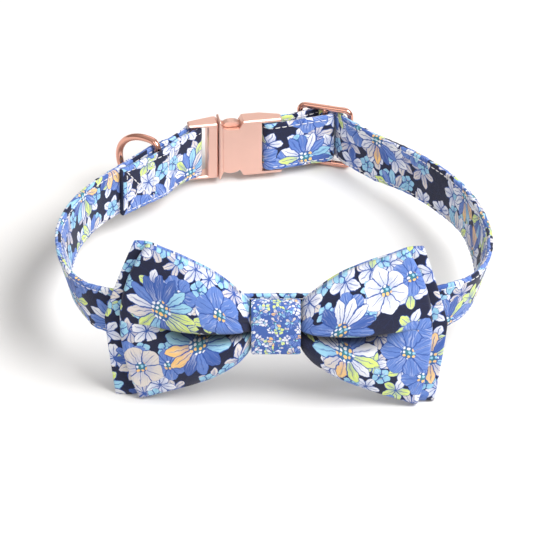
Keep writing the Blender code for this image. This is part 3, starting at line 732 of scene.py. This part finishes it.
def knot_outline(inset):
    """The knot's band seen from the side, as back and up pairs."""
    half = KNOT_HEIGHT / 2 - inset
    near = -(strap_front() + DEPTHS["knot_front"]) + inset
    far = -(strap_front() + BOW_STAND) - inset
    r = KNOT_CORNER_RADIUS + 0.4 - inset
    levels = [0.75, 0.5, 0.25, 0.0, -0.25, -0.5, -0.75]
    outline = []
    for back, up, start in CORNERS:
        centre_back = near + r if back < 0 else far - r
        outline += arc(centre_back, up * (half - r), r, start, start + 90, 6)
        if start == 90:
            outline += [(near - KNOT_CROWN * (1 - level**2), level * (half - r)) for level in levels]
        if start == 270:
            outline += [(far, -level * (half - r)) for level in levels]
    return outline


def make_knot(material):
    shares = [0.0, 0.02, 0.05, 0.1, 0.2, 0.35, 0.5, 0.65, 0.8, 0.9, 0.95, 0.98, 1.0]
    rows, uv_rows = [], []
    for inset, order in ((0.0, shares), (KNOT_WALL * 0.8, shares[::-1])):
        for share in order:
            edge = min(share, 1 - share) * KNOT_WIDTH
            roll = KNOT_EDGE_ROLL * max(0.0, 1 - edge / KNOT_EDGE_ROLL_REACH) ** 2
            outline = knot_outline(roll if inset == 0.0 else inset - roll)
            x = BOW_AT_X + (share - 0.5) * KNOT_WIDTH
            row = []
            for y, z in outline:
                pucker = 0.12 * noise.noise(Vector((x * 0.35, z * 0.5, y * 0.5)))
                row.append((x, y + pucker, z))
            rows.append(row)
            uv_rows.append([(x, float(v)) for v in gone_along(outline + outline[:1])])
    uv_rows.append(uv_rows[0])
    shape = skin(rows, True, True, uv_rows)
    bmesh.ops.recalc_face_normals(shape, faces=shape.faces)
    knot = add_piece("bow_knot_cloth", shape, material)
    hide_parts("bow_knot")


# Stitching


def add_stitch(shape, start, end, lift, radius):
    """One short thread between two points, arched a little off the cloth."""
    side = (end - start).normalized().cross(lift).normalized()
    rings = []
    for share, swell, rise in STITCH_ROWS:
        centre = start + (end - start) * share + lift * rise
        offsets = [(side * c + lift * s) * radius * swell for c, s in circle(STITCH_SIDES)]
        rings.append([shape.verts.new((centre + offset) * MM) for offset in offsets])
    tube(shape, rings)


def seam(shape, places, gap, radius):
    """Stitches along a line of places: each place is a point and the direction off the cloth."""
    points, lifts = (np.array(column) for column in zip(*places))
    gone = gone_along(points)
    here = gap
    while here + STITCH_LENGTH < gone[-1]:
        start, end = (Vector(row_at(spot, gone, points)) for spot in (here, here + STITCH_LENGTH))
        lift = Vector(row_at(here + STITCH_LENGTH / 2, gone, lifts)).normalized()
        add_stitch(shape, start, end, lift, radius)
        here += STITCH_LENGTH + gap


def strap_places(start, end, heights, face, steps):
    """Places along a face of the strap, between two lengths and two heights."""
    made = []
    for k in range(steps + 1):
        share = k / steps
        length = start + (end - start) * share
        heading = ROUTE.heading(length)
        height = heights[0] + (heights[1] - heights[0]) * share
        point = ROUTE.point(length, height, face * STRAP_THICKNESS / 2)
        made.append((point, (-face * math.sin(heading), face * math.cos(heading), 0.0)))
    return made


def make_stitching(material):
    shape = bmesh.new()
    edge = STRAP_WIDTH / 2 - SEAM_INSET
    steps = int(ROUTE.length / SEAM_STEP)
    for face in (1, -1):
        for height in (edge, -edge):
            line = strap_places(SEAM_END, ROUTE.length - SEAM_END, (height, height), face, steps)
            seam(shape, line, STITCH_GAP, THREAD_RADIUS)
    # The box with its cross and the lines across the strap are on the folded layer's neck side
    lines = [(BOX_START, BOX_END, (-edge, edge), 24), (BOX_START, BOX_END, (edge, -edge), 24)]
    lines += [(length, length + 0.01, (-edge, edge), 12) for length in (BOX_START, BOX_END, LAST_LINE)]
    for start, end, heights, steps in lines:
        line = strap_places(start, end, heights, -1, steps)
        seam(shape, line, BOX_STITCH_GAP, BOX_THREAD_RADIUS)
    piece = add_piece("strap_stitching", shape, material)


# Metal pieces


def wire_piece(node, outline, place, radius, material, body, bars=()):
    """A closed round wire given in its own X and Z, turned and placed in the collar's frame."""
    shape = bmesh.new()

    def corner(x, y, z):
        return shape.verts.new(metres(*turned_place(*place, x, y), z))

    rings = []
    for i, (x, z) in enumerate(outline):
        ax, az = outline[i - 1]
        bx, bz = outline[(i + 1) % len(outline)]
        along = Vector((bx - ax, bz - az)).normalized() * radius
        rings.append([corner(x + along.y * c, radius * s, z - along.x * c) for c, s in circle(WIRE_SIDES)])
    tube(shape, rings, loop=True)
    for across, low, high, thick in bars:
        heights = [low + (high - low) * k / BAR_STEPS for k in range(BAR_STEPS + 1)]
        spots = [(across + thick * c, thick * s) for c, s in circle(WIRE_SIDES)]
        tube(shape, [[corner(*spot, z) for spot in spots] for z in heights])
    bmesh.ops.recalc_face_normals(shape, faces=shape.faces)
    piece = add_piece(f"{node}_metal", shape, material, body)
    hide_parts(node)


def make_slider(material):
    half_length = SLIDER_LENGTH / 2 - SLIDER_BAR_RADIUS
    half_height = SLIDER_HEIGHT / 2 - SLIDER_BAR_RADIUS
    corner = SLIDER_CORNER_RADIUS - SLIDER_BAR_RADIUS
    outline = []
    for across, up, start in CORNERS:
        middle = (across * (half_length - corner), up * (half_height - corner))
        outline += arc(*middle, corner, start, start + 90, 10)
    bar = (0.0, -half_height, half_height, SLIDER_BAR_RADIUS * 0.96)
    place = (SLIDER_AT, SLIDER_YAW)
    wire_piece("slider", outline, place, SLIDER_BAR_RADIUS, material, "collar", [bar])


def make_ring(material):
    half = STRAP_WIDTH / 2 + RING_SIDE_CLEARANCE + RING_WIRE_RADIUS
    corner = RING_CORNER_RADIUS
    outline = arc(corner, corner - half, corner, 180, 270, 8)
    for k in range(1, 48):
        angle = (-90 + 180 * k / 48) * DEGREE
        outline.append((corner + (RING_REACH - corner) * math.cos(angle), half * math.sin(angle)))
    outline += arc(corner, half - corner, corner, 90, 180, 8)
    low, high = corner - half, half - corner
    outline += [(0.0, high + (low - high) * k / BAR_STEPS) for k in range(1, BAR_STEPS)]
    wire_piece("d_ring", outline, (RING_AT, RING_YAW), RING_WIRE_RADIUS, material, "ring")


# Node helpers


class Graph:
    """Short calls for building a node tree."""

    def __init__(self, tree):
        self.tree = tree

    def node(self, kind, **settings):
        made = self.tree.nodes.new(kind)
        for name, value in settings.items():
            setattr(made, name, value)
        return made

    def put(self, socket, value):
        if isinstance(value, bpy.types.NodeSocket):
            self.tree.links.new(value, socket)
        else:
            socket.default_value = value

    def math(self, operation, *values):
        made = self.node("ShaderNodeMath", operation=operation)
        for socket, value in zip(made.inputs, values):
            self.put(socket, value)
        return made.outputs[0]

    def plus(self, a, b):
        return self.math("ADD", a, b)

    def minus(self, a, b):
        return self.math("SUBTRACT", a, b)

    def times(self, a, b):
        return self.math("MULTIPLY", a, b)

    def over(self, a, b):
        return self.math("DIVIDE", a, b)

    def vector(self, operation, *values):
        made = self.node("ShaderNodeVectorMath", operation=operation)
        for socket, value in zip(made.inputs, values):
            self.put(socket, value)
        return made.outputs["Value" if operation == "LENGTH" else "Vector"]

    def scale(self, vector, factor):
        made = self.node("ShaderNodeVectorMath", operation="SCALE")
        self.put(made.inputs[0], vector)
        self.put(made.inputs["Scale"], factor)
        return made.outputs[0]

    def mix(self, share, a, b, data_type="RGBA", **settings):
        made = self.node("ShaderNodeMix", data_type=data_type, **settings)
        for name, value in (("Factor", share), ("A", a), ("B", b)):
            self.put(made.inputs[name], value)
        return made.outputs["Result"]

    def step(self, value, start, end):
        """0 below start, 1 above end, smooth between."""
        made = self.node("ShaderNodeMapRange", interpolation_type="SMOOTHSTEP")
        for name, given in (("Value", value), ("From Min", start), ("From Max", end)):
            self.put(made.inputs[name], given)
        return made.outputs["Result"]

    def parts(self, vector):
        made = self.node("ShaderNodeSeparateXYZ")
        self.put(made.inputs[0], vector)
        return made.outputs

    def combine(self, x, y, z=0.0):
        made = self.node("ShaderNodeCombineXYZ")
        for socket, value in zip(made.inputs, (x, y, z)):
            self.put(socket, value)
        return made.outputs[0]

    def noise(self, vector, scale, detail=2.0):
        made = self.node("ShaderNodeTexNoise")
        self.put(made.inputs["Vector"], vector)
        made.inputs["Scale"].default_value = scale
        made.inputs["Detail"].default_value = detail
        return made

    def ramp(self, value, stops, interpolation="CONSTANT"):
        made = self.node("ShaderNodeValToRGB")
        made.color_ramp.interpolation = interpolation
        elements = made.color_ramp.elements
        while len(elements) < len(stops):
            elements.new(1.0)
        for element, (position, colour) in zip(elements, stops):
            element.position = position
            element.color = (*colour, 1.0)
        self.put(made.inputs[0], value)
        return made.outputs[0]

    def relief(self, shader, height, strength, distance):
        """Raises a surface by a height, with the distance in millimetres."""
        made = self.node("ShaderNodeBump")
        made.inputs["Strength"].default_value = strength
        made.inputs["Distance"].default_value = distance * MM
        self.put(made.inputs["Height"], height)
        self.put(shader.inputs["Normal"], made.outputs[0])

    def place(self):
        return self.node("ShaderNodeTexCoord").outputs["Object"]


def start_material(name, settings):
    """A new material with its graph and shader, and plain values on the shader's own sockets."""
    made = bpy.data.materials.new(name)
    made.use_nodes = True
    shader = made.node_tree.nodes["Principled BSDF"]
    for socket, value in settings.items():
        shader.inputs[socket].default_value = value
    return made, Graph(made.node_tree), shader


def ink(name):
    return (*linear(INK[name]), 1.0)


FLOWER_VALUES = ("Radius", "Petals", "Turn", "Seed", "Plump", "Tone", "Variety", "Heart")

# Petal colours in order of tone, each with where it starts
PETAL_TONES = (
    (0.00, "periwinkle"),
    (0.20, "aqua"),
    (0.34, "lime"),
    (0.50, "white"),
    (0.70, "deep_blue"),
    (0.84, "cream"),
    (0.94, "peach"),
)
DOT_TONES = ((0.0, "white"), (0.45, "peach"), (0.65, "lime"), (0.82, "aqua"))


def flower_group():
    """A flower of a generic kind: petals round a dotted heart, each with an outline and a vein."""
    tree = bpy.data.node_groups.new("flower", "ShaderNodeTree")
    sockets = [("Local", "INPUT", "Vector"), ("Color", "OUTPUT", "Color"), ("Mask", "OUTPUT", "Float")]
    sockets += [(name, "INPUT", "Float") for name in FLOWER_VALUES]
    for name, way, kind in sockets:
        tree.interface.new_socket(name=name, in_out=way, socket_type=f"NodeSocket{kind}")
    g = Graph(tree)
    given = g.node("NodeGroupInput").outputs
    result = g.node("NodeGroupOutput").inputs

    x, y, _ = g.parts(given["Local"])
    reach = g.vector("LENGTH", given["Local"])
    turns = g.plus(g.over(g.math("ARCTAN2", y, x), 2 * math.pi), given["Turn"])
    around = g.times(g.plus(turns, 2.0), given["Petals"])
    index = g.math("FLOOR", around)
    off_middle = g.math("ABSOLUTE", g.minus(g.minus(around, index), 0.5))
    index = g.math("FLOORED_MODULO", index, given["Petals"])
    out = g.over(reach, given["Radius"])
    arc_width = g.over(g.times(reach, 2 * math.pi), given["Petals"])
    sideways = g.times(off_middle, arc_width)

    chance = g.node("ShaderNodeTexWhiteNoise", noise_dimensions="2D")
    g.put(chance.inputs["Vector"], g.combine(index, given["Seed"]))
    luck = chance.outputs["Value"]

    # Half the petal's width, which swells towards two thirds of its length
    own_out = g.over(out, g.plus(0.90, g.times(luck, 0.10)))
    swell = g.math("POWER", g.math("MINIMUM", own_out, 1.0), 1.35)
    swell = g.math("SINE", g.times(swell, math.pi))
    swell = g.math("POWER", g.math("MAXIMUM", swell, 0.0), 0.62)
    widest = g.over(g.times(given["Radius"], math.pi), given["Petals"])
    half_width = g.times(g.times(widest, given["Plump"]), swell)
    inside = g.minus(half_width, sideways)
    between = g.times(g.minus(0.5, off_middle), arc_width)
    to_edge = g.math("MINIMUM", inside, g.plus(between, 0.12))
    petal_mask = g.step(inside, -0.05, 0.10)
    petal = g.step(to_edge, 0.26, 0.42)
    vein = g.times(g.step(sideways, 0.20, 0.10), g.step(out, 0.86, 0.70))
    vein = g.times(vein, g.math("GREATER_THAN", given["Radius"], 5.0))

    tone = g.math("FRACT", g.plus(given["Tone"], g.times(luck, given["Variety"])))
    colour = g.ramp(tone, [(at, linear(INK[name])) for at, name in PETAL_TONES])
    shaded = g.mix(g.times(g.step(out, 0.75, 0.25), 0.35), colour, ink("periwinkle"))
    across, ahead = g.times(sideways, 1.7), g.times(out, 1.3)
    brushed = g.combine(across, ahead, g.plus(index, given["Seed"]))
    streaks = g.noise(brushed, 1.0, 3.0).outputs[0]
    shaded = g.mix(g.times(g.step(streaks, 0.52, 0.68), 0.34), shaded, ink("white"))
    shaded = g.mix(g.times(g.step(streaks, 0.44, 0.34), 0.30), shaded, ink("line_blue"))
    lined = g.mix(g.times(vein, 0.75), shaded, ink("line_blue"))
    lined = g.mix(petal, ink("line_blue"), lined)

    # The heart: dots on a darker ground
    dots = g.node("ShaderNodeTexVoronoi", voronoi_dimensions="2D", feature="F1")
    g.put(dots.inputs["Vector"], given["Local"])
    dots.inputs["Scale"].default_value = 0.62
    dots.inputs["Randomness"].default_value = 0.35
    dot_tone = g.parts(dots.outputs["Color"])[0]
    dot_colour = g.ramp(dot_tone, [(at, linear(INK[name])) for at, name in DOT_TONES])
    ground = g.mix(g.step(out, 0.0, 0.30), ink("teal"), ink("line_blue"))
    heart = g.mix(g.step(dots.outputs["Distance"], 0.40, 0.30), ground, dot_colour)
    heart_mask = g.step(g.minus(given["Heart"], out), -0.01, 0.02)
    g.put(result["Color"], g.mix(heart_mask, lined, heart))
    g.put(result["Mask"], g.math("MAXIMUM", petal_mask, heart_mask))
    return tree


def flower(g, group, colour, local, **given):
    """Lays one kind of flower over a colour."""
    made = g.node("ShaderNodeGroup", node_tree=group)
    for name, value in {"local": local, **given}.items():
        g.put(made.inputs[name.capitalize()], value)
    return g.mix(made.outputs["Mask"], colour, made.outputs["Color"])


# Layers of scattered flowers, from the bottom up
SCATTER_COLUMNS = (
    "cell", "radius", "petals", "plump", "tone", "spread", "variety", "heart", "shift", "share",
)
SCATTER_ROWS = (
    (13.0, 7.6, 6, 0.46, 0.85, 0.08, 0.00, 0.00, 17.9, 0.60),
    (12.0, 7.0, 5, 0.52, 0.42, 0.20, 0.10, 0.00, 3.7, 0.75),
    (9.5, 4.0, 5, 0.92, 0.24, 0.08, 0.00, 0.30, 23.1, 0.50),
    (21.0, 9.0, 6, 0.96, 0.00, 0.14, 0.00, 0.27, 61.3, 0.60),
    (25.0, 12.6, 13, 0.76, 0.10, 0.60, 1.00, 0.27, 41.9, 0.85),
)

# The knot's finer print, with less ground showing
KNOT_ROWS = (
    (6.0, 3.1, 6, 0.90, 0.50, 0.30, 0.15, 0.35, 5.3, 1.00),
    (7.5, 3.6, 5, 0.80, 0.34, 0.30, 0.10, 0.30, 29.7, 0.70),
    (10.5, 5.2, 9, 0.78, 0.30, 0.50, 0.60, 0.27, 13.9, 0.80),
)


def scatter(g, group, colour, spot, row):
    """Lays a flower in each cell of an uneven grid over a colour."""
    given = dict(zip(SCATTER_COLUMNS, row))
    moved = g.vector("ADD", spot, (given["shift"], -given["shift"], 0.0))
    cells = g.node("ShaderNodeTexVoronoi", voronoi_dimensions="2D", feature="F1")
    g.put(cells.inputs["Vector"], moved)
    cells.inputs["Scale"].default_value = 1 / given["cell"]
    cells.inputs["Randomness"].default_value = 0.62
    local = g.vector("SUBTRACT", moved, cells.outputs["Position"])
    one, two, three = g.parts(cells.outputs["Color"])
    radius = g.times(g.plus(0.80, g.times(one, 0.20)), given["radius"])
    radius = g.math("MAXIMUM", g.times(radius, g.math("LESS_THAN", two, given["share"])), 0.02)
    tone = g.plus(given["tone"], g.times(three, given["spread"]))
    return flower(
        g, group, colour, local, radius=radius, petals=float(given["petals"]), turn=one,
        seed=g.times(three, 40.0), tone=tone,
        **{name: given[name] for name in ("plump", "variety", "heart")},
    )


# Large flowers placed on the bow's front, one of each set in each quarter, in the order left top,
# right top, left bottom, right bottom: across and up in millimetres, then the flower's own values
HERO_COLUMNS = ("across", "up", "radius", "petals", "turn", "tone", "variety", "seed")
ROUND_HEROES = (
    (-21.0, 21.0, 10.0, 6, 0.10, 0.04, 0.04, 1),
    (42.0, 22.0, 9.5, 6, 0.33, 0.56, 0.06, 4),
    (-51.0, -20.0, 9.5, 5, 0.20, 0.86, 0.00, 7),
    (48.0, -12.0, 11.0, 7, 0.70, 0.02, 0.00, 9),
)
DAISY_HEROES = (
    (-42.0, 12.0, 14.0, 14, 0.31, 0.15, 1.00, 12),
    (23.0, 13.0, 14.0, 13, 0.80, 0.30, 1.00, 15),
    (-28.0, -15.0, 14.0, 12, 0.62, 0.45, 1.00, 18),
    (25.0, -18.5, 13.5, 12, 0.05, 0.62, 1.00, 22),
)
# Each set with its petals' plumpness and the share of its heart
HERO_SETS = ((ROUND_HEROES, 0.97, 0.25), (DAISY_HEROES, 0.77, 0.27))

KNOT_PRINT_ZOOM = 1.7
PRINT_SWAY = 1.5
WEAVE_PITCH = 0.34
ELASTIC_RIB = 0.7
COTTON_SURFACE = {
    "Roughness": 0.82,
    "Sheen Weight": 0.12,
    "Sheen Roughness": 0.5,
    "Specular IOR Level": 0.25,
}
PAPER_SURFACE = {
    "Base Color": (0.785, 0.78, 0.775, 1.0),
    "Roughness": 0.9,
    "Specular IOR Level": 0.1,
}


def placed_flower(g, group, colour, spot, heroes, plump, heart):
    """Lays one large flower over each quarter of the bow's front."""
    x, y, _ = g.parts(spot)
    right, lower = g.math("GREATER_THAN", x, 0.0), g.math("LESS_THAN", y, 0.0)
    picked = {}
    for column, values in zip(HERO_COLUMNS, zip(*heroes)):
        left_top, right_top, left_low, right_low = (float(value) for value in values)
        top = g.mix(right, left_top, right_top, "FLOAT")
        low = g.mix(right, left_low, right_low, "FLOAT")
        picked[column] = g.mix(lower, top, low, "FLOAT")
    centre = g.combine(picked.pop("across"), picked.pop("up"))
    local = g.vector("SUBTRACT", spot, centre)
    return flower(g, group, colour, local, plump=plump, heart=heart, **picked)


def cotton(name, group, rows, hero_sets=(), zoom=1.0, ground="navy"):
    """Printed cotton: the flowers over a dark ground, with the weave's grain, sheen and relief, and
    painted shade where the fold map gives it.
    """
    made, g, shader = start_material(name, COTTON_SURFACE)
    cloth = g.node("ShaderNodeUVMap", uv_map="cloth").outputs[0]
    wobble = g.noise(cloth, 0.42, 2.0)
    sway = g.scale(g.vector("SUBTRACT", wobble.outputs["Color"], (0.5, 0.5, 0.5)), PRINT_SWAY)
    x, y, _ = g.parts(g.scale(g.vector("ADD", cloth, sway), zoom))
    spot = g.combine(x, y)
    colour = ink(ground)
    for row in rows:
        colour = scatter(g, group, colour, spot, row)
    for heroes, plump, heart in hero_sets:
        colour = placed_flower(g, group, colour, spot, heroes, plump, heart)
    grain = g.noise(cloth, 2.6, 4.0)
    # Painted shade: the colour is darkened where the fold map says, in the bow's crease and beside the
    # knot
    fold = g.parts(g.node("ShaderNodeUVMap", uv_map="fold").outputs[0])[0]
    painted_shade_factor = g.minus(1.0, g.times(g.step(fold, 0.05, 1.0), PAINTED_FOLD_SHADE_STRENGTH))
    grain_and_painted_shade = g.times(painted_shade_factor, g.plus(0.90, g.times(grain.outputs[0], 0.2)))
    g.put(shader.inputs["Base Color"], g.mix(1.0, colour, grain_and_painted_shade, blend_type="MULTIPLY"))

    u, v, _ = g.parts(cloth)
    warp, weft = (g.math("SINE", g.times(way, 2 * math.pi / WEAVE_PITCH)) for way in (u, v))
    weave = g.times(g.times(warp, weft), 0.03)
    soft = g.times(g.noise(cloth, 0.35, 3.0).outputs[0], 0.35)
    g.relief(shader, g.plus(weave, soft), 0.5, 1.0)
    return made


def two_toned(name, scale, light, dark, roughness):
    """A plain material with a fine noise between two colours."""
    made, g, shader = start_material(name, {"Roughness": roughness})
    grain = g.noise(g.place(), scale, 2.0)
    g.put(shader.inputs["Base Color"], g.mix(grain.outputs[0], light, dark))
    return made


def rose_gold(name, colour, roughness, relief):
    """Plated metal: an even pink gold with fine marks, slightly darker in soft patches at random."""
    made, g, shader = start_material(name, {"Metallic": 1.0})
    place = g.place()
    cloudy = g.noise(place, 90.0, 3.0)
    fine = g.noise(place, 1800.0, 3.0).outputs[0]
    light, deep = ((*linear([c * share for c in colour]), 1.0) for share in (1.0, 0.94))
    g.put(shader.inputs["Base Color"], g.mix(cloudy.outputs[0], light, deep))
    marks = g.times(fine, roughness * 0.3)
    g.put(shader.inputs["Roughness"], g.plus(roughness, marks))
    g.relief(shader, fine, relief, 0.1)
    return made


def elastic_material():
    """Woven elastic, ribbed across its width."""
    made, g, shader = start_material("elastic_weave", {"Roughness": 0.85})
    across = g.parts(g.place())[0]
    ribs = g.math("SINE", g.times(across, 2 * math.pi / (ELASTIC_RIB * MM)))
    shade = g.mix(g.step(ribs, -0.5, 0.5), (0.018, 0.018, 0.024, 1.0), (0.05, 0.05, 0.06, 1.0))
    g.put(shader.inputs["Base Color"], shade)
    g.relief(shader, ribs, 0.6, 0.2)
    return made


def repaint(node, material, bevel=0.0):
    piece = frame["nodes"][node]
    piece.data.materials.clear()
    piece.data.materials.append(material)
    if bevel:
        edge = piece.modifiers.new("worn_edges", "BEVEL")
        edge.width = bevel * MM
        edge.segments = 3
        edge.limit_method = "ANGLE"
        edge.angle_limit = 30 * DEGREE
        edge.harden_normals = True


# Floor, light and camera

# Brightness of the studio's surroundings by height: a dim band low down and light panels above
SKY_STOPS = (
    (0.00, (0.60, 0.57, 0.54)),
    (0.28, (0.67, 0.64, 0.61)),
    (0.48, (1.02, 0.98, 0.94)),
    (1.00, (1.10, 1.07, 1.03)),
)
SKY_STRENGTH = 0.58

# Lights: the place and size in metres, the power, and whether it gives no diffuse light, as the
# white card behind the collar, which is there to be mirrored in the metal
LIGHTS = (
    ("window", (0.76, -0.36, 1.15), 0.95, 24.5, False),
    ("front_fill", (-0.5, -0.9, 0.9), 0.9, 2.2, False),
    ("back_card", (0.0, 1.5, 1.15), 1.7, 4.8, True),
)

CAMERA_ELEVATION = 38.66
CAMERA_DISTANCE = 3.0
PIXEL = 0.367 * MM
PHOTO_MIDDLE = 270
REFERENCE_PIXEL = (274.0, 205.0)
SENSOR = 36.0
FLOOR_REACH = 3.0
BUCKLE_BEVEL = 0.18


def make_camera():
    e = CAMERA_ELEVATION * DEGREE
    ahead = Vector((0.0, math.cos(e), -math.sin(e)))
    right = Vector((1.0, 0.0, 0.0))
    up = right.cross(ahead)
    reference = COLLAR @ metres(0.0, 0.0, STRAP_WIDTH / 2)
    target = reference - right * (REFERENCE_PIXEL[0] - PHOTO_MIDDLE) * PIXEL
    target -= up * (PHOTO_MIDDLE - REFERENCE_PIXEL[1]) * PIXEL
    data = bpy.data.cameras.new("camera")
    data.sensor_width = SENSOR
    data.lens = SENSOR * CAMERA_DISTANCE / (2 * PHOTO_MIDDLE * PIXEL)
    data.clip_end = 20.0
    camera = add_object("camera", data)
    camera.location = target - ahead * CAMERA_DISTANCE
    camera.rotation_euler = (90 * DEGREE - e, 0.0, 0.0)
    bpy.context.scene.camera = camera


def area_light(name, place, size, power, mirrored_only):
    data = bpy.data.lights.new(name, "AREA")
    data.shape = "DISK"
    data.size = size
    data.energy = power
    light = add_object(name, data)
    light.location = place
    light.rotation_euler = (-Vector(place)).to_track_quat("-Z", "Y").to_euler()
    light.visible_diffuse = not mirrored_only


def make_studio():
    mesh = bpy.data.meshes.new("floor")
    corners = [(across * FLOOR_REACH, back * FLOOR_REACH, 0) for across, back, _ in CORNERS]
    mesh.from_pydata(corners, [], [(0, 1, 2, 3)])
    mesh.materials.append(start_material("floor_paper", PAPER_SURFACE)[0])
    add_object("floor", mesh)
    for light in LIGHTS:
        area_light(*light)
    world = bpy.data.worlds.new("studio")
    bpy.context.scene.world = world
    world.use_nodes = True
    g = Graph(world.node_tree)
    height = g.parts(g.node("ShaderNodeTexCoord").outputs["Generated"])[2]
    background = world.node_tree.nodes["Background"]
    g.put(background.inputs["Color"], g.ramp(height, SKY_STOPS, "EASE"))
    background.inputs["Strength"].default_value = SKY_STRENGTH
    bpy.context.scene.view_settings.view_transform = "Standard"


def main():
    make_camera()
    make_studio()
    group = flower_group()
    strap_print = cotton("print_cotton_strap", group, SCATTER_ROWS)
    bow_print = cotton("print_cotton_bow", group, SCATTER_ROWS[:4], HERO_SETS)
    knot_print = cotton("print_cotton_small", group, KNOT_ROWS, (), KNOT_PRINT_ZOOM, "deep_blue")
    satin = rose_gold("rose_gold_satin_plate", *SATIN_GOLD)
    polished = rose_gold("rose_gold_polished_plate", *POLISHED_GOLD)
    # The strap's end faces: navy ground darkened to near black, painted shade for the gap at each layer's
    # end
    end = two_toned("folded_end_painted_shade", 1500.0, ink("navy"), (0.02, 0.03, 0.07, 1.0), 0.9)
    thread = two_toned("sewing_thread", 2500.0, (*linear(THREAD), 1.0), (0.62, 0.62, 0.66, 1.0), 0.7)
    elastic = elastic_material()
    make_strap(strap_print, end)
    make_stitching(thread)
    make_bow(bow_print, strap_print)
    make_knot(knot_print)
    make_slider(polished)
    make_ring(polished)
    for node in ("buckle_plug", "buckle_socket"):
        repaint(node, satin, BUCKLE_BEVEL)
    for node in ("bow_elastic_left", "bow_elastic_right"):
        repaint(node, elastic)


main()
